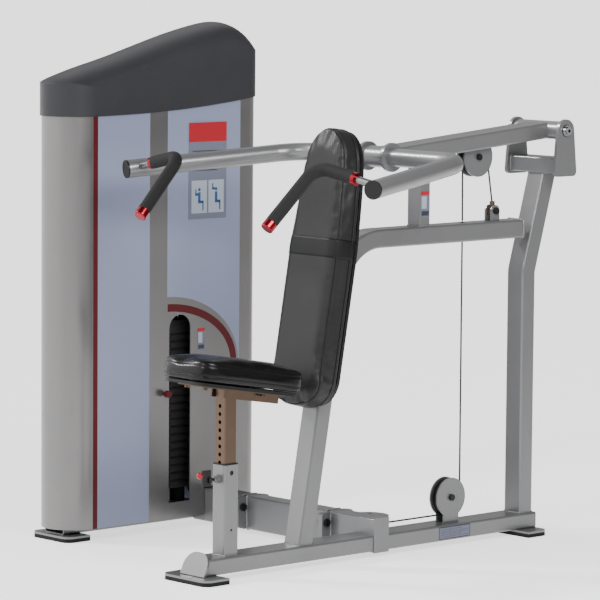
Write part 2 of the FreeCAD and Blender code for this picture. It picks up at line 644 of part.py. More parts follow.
keep("pivot_head", head_plate(PLATE_X), head_plate(-PLATE_X - PLATE_H))
keep("pivot_axle", rod(-PLATE_X - PLATE_H, HEAD_Y, HEAD_Z, AXLE_R, 2 * (PLATE_X + PLATE_H), AX))
axle_caps = []
for side in (1, -1):
    face = side * (PLATE_X + PLATE_H)
    head = bolt(V(face + side * 3, HEAD_Y, HEAD_Z), V(-side, 0, 0), 19, 3, 14, 11)
    socket = [V(6.5 * math.cos(math.radians(a)), 6.5 * math.sin(math.radians(a)), 0) for a in range(0,
                                                                                                    360, 60)]
    hexa = Part.Face(Part.makePolygon(socket + [socket[0]])).extrude(V(0, 0, 8))
    hexa.Placement = FreeCAD.Placement(V(face + side * 14.5, HEAD_Y, HEAD_Z),
                                       FreeCAD.Rotation(AZ, V(-side, 0, 0)))
    axle_caps.append(head.cut(hexa))
keep("pivot_bolt_heads", *axle_caps)

# ================================================================= backrest
lean_tan = math.tan(math.radians(BACK_LEAN))
front_off = TUBE_D / 2.0 / math.cos(math.radians(BACK_LEAN))
PAD_BASE_Y = BACK_Y - front_off + (PAD_LOW - RAIL_TOP) * lean_tan


def back_frame(shape):
    """Place a shape drawn upright (y = 0 the tube's front face, z = 0 the pad's lower edge)."""
    out = shape.copy()
    out.translate(V(0, PAD_BASE_Y, PAD_LOW))
    return lean(out, PAD_BASE_Y, PAD_LOW, BACK_LEAN)


def back_outline(inset=0.0):
    """Return the backrest outline as a face in the plane y = 0."""
    w = PAD_HW - inset
    lo = inset
    hi = PAD_LEN - inset
    shoulder = PAD_LEN * 0.52
    corner = 74.0
    dip = 16.0
    left_low = V(-w, 0, lo + dip + corner)
    right_low = V(w, 0, lo + dip + corner)
    k = corner * (1 - math.sqrt(0.5))
    edges = [Part.makeLine(V(w, 0, lo + dip + corner), V(w, 0, shoulder))]
    top = Part.BSplineCurve()
    side = [(w * 0.961, 0.26), (w * 0.898, 0.50), (w * 0.800, 0.735), (w * 0.640, 0.875), (w * 0.36, 0.965)]
    right = [V(x, 0, shoulder + (hi - shoulder) * f) for x, f in side]
    left = [V(-p.x, 0, p.z) for p in reversed(right)]
    crown = [V(w, 0, shoulder)] + right + [V(0, 0, hi)] + left + [V(-w, 0, shoulder)]
    top.interpolate(Points=crown, InitialTangent=V(0, 0, 1), FinalTangent=V(0, 0, -1))
    edges.append(top.toShape())
    edges.append(Part.makeLine(V(-w, 0, shoulder), left_low))
    low_in = w - corner * 0.92
    edges.append(Part.Arc(left_low, V(-w + k, 0, lo + dip + k), V(-low_in, 0, lo + dip * 0.55)).toShape())
    edges.append(Part.Arc(V(-low_in, 0, lo + dip * 0.55), V(0, 0, lo),
                          V(low_in, 0, lo + dip * 0.55)).toShape())
    edges.append(Part.Arc(V(low_in, 0, lo + dip * 0.55), V(w - k, 0, lo + dip + k), right_low).toShape())
    return Part.Face(Part.Wire(edges))


back_board = back_outline(8).extrude(V(0, -BOARD_T, 0))
LUG_Z = (PAD_LEN * 0.1627, PAD_LEN * 0.4338)
LUG_X = TUBE_W / 2.0 + 14.0
BACK_BOLTS = [(bx, bz) for bz in LUG_Z for bx in (-LUG_X, LUG_X)]
for bx, bz in BACK_BOLTS:
    back_board = back_board.cut(rod(bx, 1, bz, 4.1, 9, V(0, -1, 0)))
keep("back_board", back_frame(back_board))
back_pad = back_outline().extrude(V(0, -PAD_T, 0))
front = [e for e in back_pad.Edges if abs(e.BoundBox.YMin + PAD_T) < 1e-4 and abs(e.BoundBox.YMax + PAD_T) < 1e-4]
back_pad = back_pad.makeFillet(13, front)
back_pad.translate(V(0, -BOARD_T, 0))
keep("back_pad", back_frame(back_pad))
band_z = PAD_LEN * 0.537
band_outer = box(-PAD_HW - 2.5, PAD_HW + 2.5, -BOARD_T - PAD_T - 2.5, 1.5, band_z, band_z + BAND_W)
band_core = back_outline().extrude(V(0, -PAD_T - BOARD_T, 0))
grown = back_outline(-2.2).extrude(V(0, -PAD_T - BOARD_T - 2.2, 0))
grown.translate(V(0, 1.2, 0))
band = band_outer.common(grown).cut(band_core)
band = band.cut(box(-TUBE_W / 2 - 1, TUBE_W / 2 + 1, -0.5, 10, 0, 2000))
keep("back_band", back_frame(band))
back_bolts = []
for bx, bz in BACK_BOLTS:
    back_bolts.append(back_frame(bolt(V(bx, 5, bz), V(0, -1, 0), 4, 8, 8, 6, True)))
keep("frame_bolts", *back_bolts)
tube_room = side_prism([(BACK_Y - front_off, RAIL_TOP), (BACK_Y + front_off, RAIL_TOP),
                        (BACK_Y + front_off + 900 * lean_tan, RAIL_TOP + 900),
                        (BACK_Y - front_off + 900 * lean_tan, RAIL_TOP + 900)], -TUBE_W / 2, TUBE_W / 2)
lugs = []
for bz in LUG_Z:
    lug = fuse([box(-LUG_X - 16, LUG_X + 16, 0, 5, bz - 20, bz + 20),
                box(-TUBE_W / 2 - 5, TUBE_W / 2 + 5, 0, 34, bz - 20, bz + 20)])
    for bx in (-LUG_X, LUG_X):
        lug = lug.cut(rod(bx, -1, bz, 4, 8, AY))
    lugs.extend(back_frame(lug).cut(tube_room).Solids)
keep("back_tube", *lugs)

# ================================================================= press arm
def arm_frame(shape):
    """Place a shape drawn level (y = 0 the pivot, the arm running along -y)."""
    out = shape.copy()
    out.translate(V(0, HEAD_Y, HEAD_Z))
    out.rotate(V(0, HEAD_Y, HEAD_Z), AX, ARM_DROP)
    return out


def arm_point(y, z):
    """Return level arm coordinates of a working point in the side view."""
    dy, dz = y - HEAD_Y, z - HEAD_Z
    c, s = math.cos(arm_angle), math.sin(arm_angle)
    return dy * c + dz * s, -dy * s + dz * c


PIVOT_TUBE_R = 31.0
pivot_tube = rod(-PLATE_X + 3, 0, 0, PIVOT_TUBE_R, 2 * PLATE_X - 6, AX)
pivot_tube = pivot_tube.cut(rod(-PLATE_X, 0, 0, AXLE_R + FIT, 2 * PLATE_X, AX))
keep("press_beam", arm_frame(pivot_tube))

beam = prism(ARM_W, ARM_H, TUBE_R, 0, ARM_LEN)
beam = beam.cut(prism(ARM_W - 2 * WALL, ARM_H - 2 * WALL, 3.5, -1, ARM_LEN + 1))
beam.rotate(V(0, 0, 0), AX, 90)
beam = beam.cut(rod(-200, 0, 0, PIVOT_TUBE_R + 0.0, 400, AX))
beam = beam.cut(rod(-200, -ARM_LEN, 0, YOKE_R, 400, AX))
beam = beam.cut(box(-200, 200, -ARM_LEN - 100, -ARM_LEN, -100, 100))
ap_y, ap_z = arm_point(*ARM_PULLEY)
slot_y = math.sqrt((PULLEY_R + CABLE_R + 8) ** 2 - (ap_z + ARM_H / 2.0) ** 2)
beam = beam.cut(box(-PULLEY_T / 2 - 2, PULLEY_T / 2 + 2, ap_y - slot_y, ap_y + slot_y, -ARM_H / 2 - 1, 0))
keep("press_beam", arm_frame(beam))

sides = []
for sx in (-1, 1):
    xa = sx * (PULLEY_T / 2 + 1.5)
    xb = xa + sx * SIDE_T
    disc = rod(min(xa, xb), ap_y, ap_z, SIDE_R, SIDE_T, AX)
    disc = disc.cut(box(-60, 60, ap_y - 200, ap_y + 200, -ARM_H / 2.0, 200))
    disc = disc.cut(rod(-60, ap_y, ap_z, PULLEY_BOLT_R, 120, AX))
    sides.append(disc)
keep("press_beam", *[arm_frame(s) for s in sides])
bolt_half = PULLEY_T / 2 + 1.5 + SIDE_T
arm_bolt = fuse([rod(-bolt_half - 8, ap_y, ap_z, PULLEY_BOLT_R, 2 * bolt_half + 16, AX),
                 rod(bolt_half, ap_y, ap_z, 11, 8, AX), rod(-bolt_half - 10, ap_y, ap_z, 11, 10, AX)])
keep("arm_pulley_bolt", arm_frame(arm_bolt))
keep("arm_pulley", pulley(V(0, *ARM_PULLEY), AX, PULLEY_R, PULLEY_T, PULLEY_BOLT_R + FIT))

yoke_c, yoke_s = math.sin(math.radians(YOKE_SPLAY)), math.cos(math.radians(YOKE_SPLAY))
leg = YOKE_REACH / math.cos(math.radians(YOKE_SPLAY))
tip = V(YOKE_HALF + leg * yoke_c, -ARM_LEN - leg * yoke_s, 0)
knee = V(YOKE_HALF, -ARM_LEN, 0)
yoke_path = bent_line([V(-tip.x, tip.y, 0), V(-knee.x, knee.y, 0), knee, tip], [YOKE_BEND, YOKE_BEND])
yoke = sweep_round(yoke_path, YOKE_R).cut(sweep_round(yoke_path, YOKE_R - WALL))
leg_dir = (tip - knee).normalize()
COLLAR_R = 48.0
collars = []
for sx in (-1, 1):
    xa = sx * (ARM_W / 2.0 - 1)
    xb = sx * (ARM_W / 2.0 + 12)
    ring = rod(min(xa, xb), -ARM_LEN, 0, COLLAR_R, 13, AX)
    ring = ring.cut(rod(-200, -ARM_LEN, 0, YOKE_R, 400, AX))
    ring = ring.cut(box(-ARM_W / 2.0, ARM_W / 2.0, -ARM_LEN, -ARM_LEN + 200, -ARM_H / 2.0, ARM_H / 2.0))
    collars.append(ring)
shell = rod(-ARM_W / 2 + 1, -ARM_LEN, 0, YOKE_R + 6, ARM_W - 2,
            AX).cut(rod(-200, -ARM_LEN, 0, YOKE_R, 400, AX))
shell = shell.cut(box(-200, 200, -ARM_LEN, -ARM_LEN + 200, -200, 200))
keep("yoke_collars", arm_frame(fuse(collars + [shell])))
keep("yoke_tube", arm_frame(yoke))
end_caps = []
for sx in (-1, 1):
    end = V(sx * tip.x, tip.y, 0)
    d = V(sx * leg_dir.x, leg_dir.y, 0)
    cap = fuse([Part.makeCylinder(YOKE_R, 6, end, d), Part.makeCylinder(YOKE_R - WALL - 0.3, 20,
                                                                        end - d * 19, d)])
    end_caps.append(cap)
keep("yoke_end_caps", *[arm_frame(s) for s in end_caps])

HAND_X1, HAND_X2 = 326.0, 304.0     # half distances between the two handles at their bend and end
hand_root = V(tip.x - 13.3, tip.y + 34.6, 5.2)
hand_apex = V(HAND_X1, tip.y + 11.0, 57.4)
hand_end = V(HAND_X2, tip.y - 195.5, -114.6)
HAND_BEND = 55.0
GRIP_START = 88.0          # from the bar's root to the inner collar
CAP_LEN = 27.0


def part_path(trim_start, trim_end):
    """Return the handle's centre line shortened at its two ends."""
    a = hand_root + (hand_apex - hand_root).normalize() * trim_start
    b = hand_end + (hand_apex - hand_end).normalize() * trim_end
    return bent_line([a, hand_apex, b], [HAND_BEND])


bar = sweep_round(part_path(0, CAP_LEN), BAR_R)
yoke_room = Part.makeCylinder(YOKE_R, 260, V(tip.x, tip.y, 0) - leg_dir * 200, leg_dir)
bar = bar.cut(yoke_room)
bar = sorted(bar.Solids, key=lambda piece: -piece.Volume)[0]
foam = sweep_round(part_path(GRIP_START + 14, CAP_LEN), GRIP_R).cut(sweep_round(part_path(GRIP_START - 20,
                                                                                          0), BAR_R))
u1 = (hand_apex - hand_root).normalize()
collar = Part.makeCylinder(GRIP_R, 14, hand_root + u1 * GRIP_START, u1)
collar = collar.cut(Part.makeCylinder(BAR_R, 40, hand_root + u1 * (GRIP_START - 10), u1))
u2 = (hand_end - hand_apex).normalize()
grip_cap = Part.makeCylinder(GRIP_R, CAP_LEN, hand_end - u2 * CAP_LEN, u2)
cap_rim = [e for e in grip_cap.Edges if abs((e.CenterOfMass - hand_end).Length) < 1.0]
grip_cap = grip_cap.makeFillet(4, cap_rim)


def pair(shape):
    """Return a handle piece and its mirror image, in place."""
    placed = arm_frame(shape)
    return placed, mirror_x(placed)


keep("handle_bars", *pair(bar))
keep("foam_grips", *pair(foam))
keep("handle_rings", *pair(collar))
keep("handle_rings", *pair(grip_cap))

# ================================================================= lower pulley and anchor
low_y, low_z = LOW_PULLEY
cheeks = []
for sx in (-1, 1):
    xa = sx * (PULLEY_T / 2 + 1.5)
    xb = xa + sx * SIDE_T
    cheek = fuse([rod(min(xa, xb), low_y, low_z, SIDE_R, SIDE_T, AX),
                  box(min(xa, xb), max(xa, xb), low_y - 36, low_y + 36, RAIL_TOP, low_z)])
    cheeks.append(cheek.cut(rod(-60, low_y, low_z, PULLEY_BOLT_R, 120, AX)))
keep("pulley_brackets", *cheeks)
keep("low_pulley", pulley(V(0, low_y, low_z), AX, PULLEY_R, PULLEY_T, PULLEY_BOLT_R + FIT))
keep("frame_bolts", fuse([rod(-bolt_half - 8, low_y, low_z, PULLEY_BOLT_R, 2 * bolt_half + 16, AX),
                                rod(bolt_half, low_y, low_z, 11, 8, AX),
                                rod(-bolt_half - 10, low_y, low_z, 11, 10, AX)]))

ANCHOR_Y = HEAD_Y - 234.0
ANCHOR_Z = tube_top + 66.0
ears = []
for sx in (-1, 1):
    xa = sx * 11.0
    xb = sx * 16.0
    ear = fuse([rod(min(xa, xb), ANCHOR_Y, tube_top + 34, 20, 5, AX),
                box(min(xa, xb), max(xa, xb), ANCHOR_Y - 20, ANCHOR_Y + 20, tube_top, tube_top + 34)])
    ears.append(ear.cut(rod(-40, ANCHOR_Y, tube_top + 34, 6, 80, AX)))
keep("pulley_brackets", *ears)
fork = fuse([box(-10, 10, ANCHOR_Y - 12, ANCHOR_Y + 12, tube_top + 20, tube_top + 50),
             rod(0, ANCHOR_Y, tube_top + 44, 9, ANCHOR_Z - tube_top - 44, AZ)])
fork = fork.cut(rod(-40, ANCHOR_Y, tube_top + 34, 6, 80, AX))
fork = fork.cut(rod(0, ANCHOR_Y, ANCHOR_Z - 16, CABLE_R + 2.5, 20, AZ))
keep("anchor_fork", fork)
keep("frame_bolts", fuse([rod(-22, ANCHOR_Y, tube_top + 34, 6, 38, AX),
                          rod(16, ANCHOR_Y, tube_top + 34, 11.5, 9, AX),
                            rod(-24, ANCHOR_Y, tube_top + 34, 10, 8, AX)]))

# ================================================================= cables
def arc_points(cy, cz, r, a0, a1):
    """Return start, middle and end points of an arc in the side view at X = 0."""
    return [V(0, cy + r * math.cos(math.radians(a)), cz + r * math.sin(math.radians(a)))
            for a in (a0, (a0 + a1) / 2.0, a1)]


def line_angle(px, py, cx, cy, r, sign):
    """Return the angle on a circle at which a line from a point touches it."""
    d = math.hypot(px - cx, py - cy)
    base = math.degrees(math.atan2(py - cy, px - cx))
    return base + sign * math.degrees(math.acos(r / d))


ay, az = ARM_PULLEY
leg_bottom = tube_top + 6.0
anchor_top = V(0, ANCHOR_Y, ANCHOR_Z - 10)
a_touch = line_angle(anchor_top.y, anchor_top.z, ay, az, PULLEY_R, 1)
front_low = V(0, hole_y, leg_bottom)
f_touch = line_angle(hole_y, leg_bottom, ay, az, PULLEY_R, -1)
while f_touch < a_touch:
    f_touch += 360.0
p0, pm, p1 = arc_points(ay, az, PULLEY_R, a_touch, f_touch)
loop_path = Part.Wire([Part.makeLine(anchor_top, p0), Part.Arc(p0, pm, p1).toShape(),
                       Part.makeLine(p1, front_low)])
keep("cable_loop", sweep_round(loop_path, CABLE_R))

up_x, up_z = UP_PULLEY
TOP_Y = STACK_Y + TOP_PULLEY_R
UP_Y = STACK_Y + 2 * TOP_PULLEY_R
route = []
a = V(0, hole_y, leg_bottom - 1.5)
t = line_angle(hole_y, leg_bottom, low_y, low_z, PULLEY_R, -1)
q0, qm, q1 = arc_points(low_y, low_z, PULLEY_R, t, -90.0)
route.append(Part.makeLine(a, q0))
route.append(Part.Arc(q0, qm, q1).toShape())
turn_start = V(0, TURN[1], CABLE_RUN_Z)
route.append(Part.makeLine(q1, turn_start))
c45 = SMALL_R * math.sqrt(0.5)
t45 = TURN_R * math.sqrt(0.5)
turn_mid = V(TURN[0] + t45, TURN[1] - t45, CABLE_RUN_Z)
turn_end = V(TURN[0], RUN_Y, CABLE_RUN_Z)
route.append(Part.Arc(turn_start, turn_mid, turn_end).toShape())
up_start = V(up_x, RUN_Y, CABLE_RUN_Z)
route.append(Part.makeLine(turn_end, up_start))
up_mid = V(up_x - c45, RUN_Y, up_z - c45)
up_end = V(up_x - SMALL_R, RUN_Y, up_z)
route.append(Part.Arc(up_start, up_mid, up_end).toShape())
top_in = V(TX, UP_Y, TOP_PULLEY_Z)
route.append(Part.makeLine(up_end, top_in))
top_mid = V(TX, TOP_Y, TOP_PULLEY_Z + TOP_PULLEY_R)
top_out = V(TX, STACK_Y, TOP_PULLEY_Z)
route.append(Part.Arc(top_in, top_mid, top_out).toShape())
strand = fuse([sweep_round(Part.Wire([e]), CABLE_R) for e in route])
keep("cable_main", strand)

# ================================================================= weight stack
stack_top = STACK_Z + LOWER_COUNT * (LAYER + LAYER_GAP)
upper_z = stack_top
head_z = upper_z + UPPER_COUNT * (LAYER + LAYER_GAP)
HEAD_H = 46.0
SELECT_R = 11.0


def layer(z, height, bore):
    """Return one weight plate with its guide holes, centre hole and front notch."""
    plate = prism(STACK_D, STACK_W, 8, z, z + height, TX, STACK_Y)
    for sy in (-1, 1):
        plate = plate.cut(rod(TX, STACK_Y + sy * ROD_HALF, z - 1, ROD_R + 1.5, height + 2, AZ))
    return plate.cut(rod(TX, STACK_Y, z - 1, bore, height + 2, AZ))


def pin_hole(z):
    """Return the selector pin's hole through a plate at the given height, from the near side."""
    return rod(TX, STACK_Y, z, 6, STACK_D, AX)


lower = []
for i in range(LOWER_COUNT):
    z = STACK_Z + i * (LAYER + LAYER_GAP)
    lower.append(layer(z, LAYER, SELECT_R + 1.5).cut(pin_hole(z + LAYER / 2)))
upper = []
for i in range(UPPER_COUNT):
    z = upper_z + i * (LAYER + LAYER_GAP)
    upper.append(layer(z, LAYER + (LAYER_GAP if i < UPPER_COUNT - 1 else 0),
                       SELECT_R + 1.0).cut(pin_hole(z + LAYER / 2)))
keep("lower_plates", *lower)
keep("upper_plates", fuse(upper))
head_block = layer(head_z, HEAD_H, SELECT_R)
keep("stack_head", head_block)
select_low = STACK_Z + 6
selector = rod(TX, STACK_Y, select_low, SELECT_R, head_z + HEAD_H - select_low, AZ)
for i in range(LOWER_COUNT + UPPER_COUNT):
    z = STACK_Z + i * (LAYER + LAYER_GAP) + LAYER / 2
    selector = selector.cut(rod(TX - 20, STACK_Y, z, 5.6, 40, AX))
keep("selector_rod", selector)
PIN_LAYER_Z = upper_z + LAYER / 2
pin_x0 = TX - 8
pin_face = TX + STACK_D / 2.0
keep("selector_pin", fuse([rod(pin_x0, STACK_Y, PIN_LAYER_Z, 5.0, pin_face + 8 - pin_x0, AX),
                           rod(pin_face + 1, STACK_Y, PIN_LAYER_Z, 9, 7, AX)]))
knob = fuse([rod(pin_face + 8, STACK_Y, PIN_LAYER_Z, 13, 14, AX),
             Part.makeSphere(13.0, V(pin_face + 22, STACK_Y, PIN_LAYER_Z))])
knob = knob.cut(rod(pin_face - 10, STACK_Y, PIN_LAYER_Z, 20, 18, AX))
keep("selector_knob", knob)
stack_eye = head_z + HEAD_H
keep("stack_head", fuse([rod(TX, STACK_Y, stack_eye, 12, 26, AZ),
                         rod(TX, STACK_Y, stack_eye + 26, 8, 14, AZ)]))
stack_cable_low = stack_eye + 41.0
keep("cable_stack", rod(TX, STACK_Y, stack_cable_low, CABLE_R, TOP_PULLEY_Z - 1.0 - stack_cable_low, AZ))

bumpers = []
for sy in (-1, 1):
    b = rod(TX, STACK_Y + sy * ROD_HALF, RAIL_TOP + 6, 26, STACK_Z - RAIL_TOP - 6 - GAP, AZ)
    bumpers.append(b.cut(rod(TX, STACK_Y + sy * ROD_HALF, RAIL_TOP, ROD_R + 0.3, 90, AZ)))
keep("rubber_bumpers", *bumpers)
rods = [rod(TX, STACK_Y + sy * ROD_HALF, RAIL_TOP + 1, ROD_R, TOP_BEAM_Z - RAIL_TOP - 2,
            AZ) for sy in (-1, 1)]
keep("guide_rods", *rods)

# ================================================================= tower frame
base_tube = prism(100, RAIL_HEIGHT, TUBE_R, 0, T_REAR - 30 - (T_NOSE + 30))
base_in = prism(100 - 2 * WALL, RAIL_HEIGHT - 2 * WALL, 3.5, -1, 2000)
base_tube = base_tube.cut(base_in)
base_tube.rotate(V(0, 0, 0), AX, -90)
base_tube.translate(V(TX, T_NOSE + 30, RAIL_Z + RAIL_HEIGHT / 2.0))
keep("tower_frame", base_tube)
column_y = (T_PANEL + 40.0, T_COLUMN + 20.0)
columns = []
for cy in column_y:
    col = prism(COLUMN_W, COLUMN_W, 6, RAIL_TOP, TOP_BEAM_Z, TX, cy)
    columns.append(col.cut(prism(COLUMN_W - 6, COLUMN_W - 6, 3, RAIL_TOP - 1, TOP_BEAM_Z + 1, TX, cy)))
keep("tower_frame", *columns)
top_beam = box(TX - 25, TX + 25, column_y[0] - 25, column_y[1] + 25, TOP_BEAM_Z, TOP_BEAM_Z + 40)
top_beam = top_beam.cut(box(TX - 21, TX + 21, column_y[0] - 26, column_y[1] + 26, TOP_BEAM_Z + 4,
                            TOP_BEAM_Z + 36))
for hy in (STACK_Y, UP_Y):
    top_beam = top_beam.cut(rod(TX, hy, TOP_BEAM_Z - 1, 11, 60, AZ))
keep("tower_frame", top_beam)
hangers = []
for sx in (-1, 1):
    xa = TX + sx * 12.0
    xb = TX + sx * 17.0
    leaf = box(min(xa, xb), max(xa, xb), TOP_Y - 30, TOP_Y + 30, TOP_BEAM_Z + 40, TOP_PULLEY_Z + 24)
    hangers.append(leaf.cut(rod(TX - 40, TOP_Y, TOP_PULLEY_Z, PULLEY_BOLT_R, 80, AX)))
keep("tower_frame", *hangers)
keep("frame_bolts", rod(TX - 24, TOP_Y, TOP_PULLEY_Z, PULLEY_BOLT_R, 48, AX))
keep("top_pulley", pulley(V(TX, TOP_Y, TOP_PULLEY_Z), AX, TOP_PULLEY_R, 20, PULLEY_BOLT_R + FIT))
up_leaves = []
for sy in (-1, 1):
    ya = RUN_Y + sy * 11.5
    yb = RUN_Y + sy * 15.5
    leaf = box(up_x - 22, up_x + 22, min(ya, yb), max(ya, yb), RAIL_TOP, up_z + 20)
    leaf = leaf.cut(box(BEAM_X1 - 0.3, up_x + 60, RUN_Y - 40, RUN_Y + 40, 0, BEAM_Z1 + 0.3))
    up_leaves.append(leaf.cut(rod(up_x, RUN_Y - 40, up_z, PULLEY_BOLT_R, 80, AY)))
keep("tower_frame", *up_leaves)
keep("frame_bolts", rod(up_x, RUN_Y - 18, up_z, PULLEY_BOLT_R, 36, AY))
keep("up_pulley", pulley(V(up_x, RUN_Y, up_z), AY, SMALL_R, 20, PULLEY_BOLT_R + FIT))

# ================================================================= tower covers
HALF = TOWER_DEPTH / 2.0


def lower_edge(y):
    """Return the height of the top cover's lower edge at a depth in the tower."""
    part = max(0.0, (y - T_NOSE) / (T_REAR - T_NOSE))
    return COVER_LOW + COVER_LIFT * part ** 2.4


def plan(offset, y0, y1):
    """Return a prism of the tower's plan outline grown by an offset, full height."""
    a = HALF + offset
    nose = T_PANEL - 3.0
    b = nose - T_NOSE + offset
    rear = T_REAR + offset
    r = 42.0 + offset
    ell = Part.Ellipse(V(TX, nose - b, 0), V(TX + a, nose, 0), V(TX, nose, 0)) if b > a else \
        Part.Ellipse(V(TX + a, nose, 0), V(TX, nose - b, 0), V(TX, nose, 0))
    full = Part.Face(Part.Wire([ell.toShape()])).extrude(V(0, 0, 2000))
    front = full.common(box(TX - 400, TX + 400, 0, nose, -1, 2001))
    back = prism(2 * a, 2 * (rear - nose), r, 0, 2000, TX, nose).common(box(TX - 400, TX + 400, nose,
                                                                            2000, -1, 2001))
    whole = fuse([front, back])
    return whole.common(box(TX - 400, TX + 400, y0, y1, -1, 2001))


skin_all = plan(0, 0, 3000).cut(plan(-SKIN, 0, 3000))
SWEEP = [T_NOSE - 60.0 + i * (T_REAR - T_NOSE + 120.0) / 24.0 for i in range(25)]
cover_under = side_prism([(y, lower_edge(y) + 12) for y in SWEEP] + [(SWEEP[-1], SKIRT_Z),
                                                                     (SWEEP[0], SKIRT_Z)],
                         TX - 300, TX + 300)
skin_all = skin_all.common(cover_under)


def near_only(shape):
    """Keep the half of a shape on the user's side of the tower."""
    return shape.common(box(TX, TX + 400, 0, 2000, 0, 2000))


def skin_part(y0, y1):
    """Return the skin between two depths, split a hair short of its neighbours."""
    return skin_all.common(box(TX - 400, TX + 400, y0, y1, 0, 2000))


keep("tower_silver", skin_part(0, T_STRIP))
strips = skin_part(T_STRIP, T_PANEL)
keep("red_trim", *strips.Solids)
keep("tower_panels", *skin_part(T_PANEL, T_SILVER).Solids)

ARCH_RISE = 242.0
ARCH_RUN = T_COLUMN - 4 - T_ARCH
arch_low = 568.0


def arch_solid(side, drop):
    """Return the region under the lower panel's quarter-ellipse arch, drawn in at the side and the top."""
    pts = []
    for i in range(0, 25):
        t = math.radians(90.0 * i / 24.0)
        y = T_ARCH + (ARCH_RUN - side) * math.sin(t)
        z = arch_low + (ARCH_RISE - drop) * math.cos(t)
        pts.append((y, z))
    curve = Part.BSplineCurve()
    curve.interpolate([V(TX, y, z) for y, z in pts])
    y_end, z_end = pts[-1]
    edges = [curve.toShape(), Part.makeLine(V(TX, y_end, z_end), V(TX, y_end, 0)),
             Part.makeLine(V(TX, y_end, 0), V(TX, T_ARCH - 400, 0)),
             Part.makeLine(V(TX, T_ARCH - 400, 0), V(TX, T_ARCH - 400, pts[0][1])),
             Part.makeLine(V(TX, T_ARCH - 400, pts[0][1]), V(TX, pts[0][0], pts[0][1]))]
    return Part.Face(Part.Wire(edges)).extrude(V(300, 0, 0))


near_mid = near_only(skin_part(T_SILVER, T_COLUMN))
far_mid = skin_part(T_SILVER, T_COLUMN).common(box(TX - 400, TX, 0, 2000, 0, 2000))
arch = arch_solid(0, 0)
silver = near_mid.common(fuse([arch.common(box(TX, TX + 300, T_SILVER, T_COLUMN, 0, 2000)),
                               box(TX, TX + 300, T_SILVER, T_ARCH, 0, 2000),
                               box(TX, TX + 300, T_COLUMN - 6, T_COLUMN, 0, arch_low)]))
slot = fuse([box(TX, TX + 300, STACK_Y - SLOT_W / 2, STACK_Y + SLOT_W / 2, 96, SLOT_TOP - SLOT_W / 2),
             rod(TX, STACK_Y, SLOT_TOP - SLOT_W / 2, SLOT_W / 2, 300, AX)])
doorway = box(TX, TX + 300, BEAM_Y0 - 3, BEAM_Y1 + 3, 0, BEAM_Z1 + 3)
red_outer = arch_solid(8, 25)
red_inner = arch_solid(36, 51)
band_zone = box(TX, TX + 300, T_ARCH + 2, T_COLUMN - 6, arch_low - 40, 1200)
red_arc = near_mid.common(red_outer.cut(red_inner)).common(band_zone)
silver = silver.cut(slot).cut(doorway).cut(red_arc)
keep("tower_silver", silver)
keep("red_trim", red_arc)
rear_panel = near_mid.cut(arch).cut(box(TX, TX + 300, T_SILVER, T_ARCH, 0, 2000))
rear_panel = rear_panel.cut(box(TX, TX + 300, T_COLUMN - 6, T_COLUMN, 0, arch_low))
keep("tower_panels", rear_panel)
keep("tower_panels", far_mid)
keep("tower_silver", skin_part(T_COLUMN, 2000))

placard = box(TN + 0.2, TN + 2.2, 704, 875, COVER_LOW - 366, COVER_LOW - 34)
keep("placard", placard)
spare = fuse([rod(TN, 596, 478, 6, 16, AX), rod(TN + 14, 596, 478, 12, 16, AX)])
keep("red_trim", spare)

COVER_T = 5.0
CROWN_DROP = 62.0
RIDGE = [(150.0, -252.0), (163.0, -208.0), (178.0, -193.0), (204.0, -179.0), (240.0, -167.0),
         (313.0, -146.0),
         (420.0, -119.0), (577.0, -75.0), (748.0, -28.0), (850.0, -6.0), (905.0, 0.0), (955.0, -12.0),
         (1000.0, -46.0), (1045.0, -96.0)]


def crown_section(y, ridge, half, low):
    """Return one cross-section of the domed cover as a closed wire at a depth."""
    spring = ridge - CROWN_DROP
    a, b = V(TX - half, y, spring), V(TX + half, y, spring)
    points = [V(TX + half * math.cos(t), y, spring + CROWN_DROP * math.sin(t))
              for t in [math.pi * i / 12.0 for i in range(13)]]
    curve = Part.BSplineCurve()
    curve.interpolate(Points=points, InitialTangent=AZ, FinalTangent=V(0, 0, -1))
    return Part.Wire([Part.makeLine(V(TX - half, y, low), V(TX + half, y, low)),
                      Part.makeLine(V(TX + half, y, low), b), curve.toShape(),
                      Part.makeLine(a, V(TX - half, y, low))])


def crown_block(inset):
    """Return the domed top of the cover, made smaller all round by an inset."""
    half = HALF + COVER_T + GAP - inset
    wires = [crown_section(y, TOWER_HEIGHT + z - inset, half, COVER_LOW - 58.0) for y, z in RIDGE]
    return Part.makeLoft(wires, True, False)


def cover_floor(low):
    """Return everything above the cover's sloping lower edge."""
    edge = Part.BSplineCurve()
    edge.interpolate([V(TX, y, lower_edge(y) + low) for y in SWEEP])
    a, b = V(TX, SWEEP[0], 2500), V(TX, SWEEP[-1], 2500)
    wire = Part.Wire([edge.toShape(), Part.makeLine(edge.toShape().Vertexes[-1].Point, b),
                      Part.makeLine(b, a),
                      Part.makeLine(a, edge.toShape().Vertexes[0].Point)])
    slab = Part.Face(wire).extrude(V(600, 0, 0))
    slab.translate(V(-300, 0, 0))
    return slab


cover_outer = crown_block(0.0).common(plan(COVER_T + GAP, 0, 3000)).common(cover_floor(0.0))
cover_inner = crown_block(COVER_T).common(plan(GAP, 0, 3000))
cover = cover_outer.cut(cover_inner)
keep("top_cover", cover)

export_all()
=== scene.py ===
"""Looks of a seated shoulder press machine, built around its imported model."""

import logging
import math
import random
from dataclasses import dataclass, field
from enum import Enum
from typing import Callable, Iterable, Sequence

import bmesh
import bpy
import numpy as np
from mathutils import Matrix, Vector
from mathutils.bvhtree import BVHTree
from mathutils.kdtree import KDTree


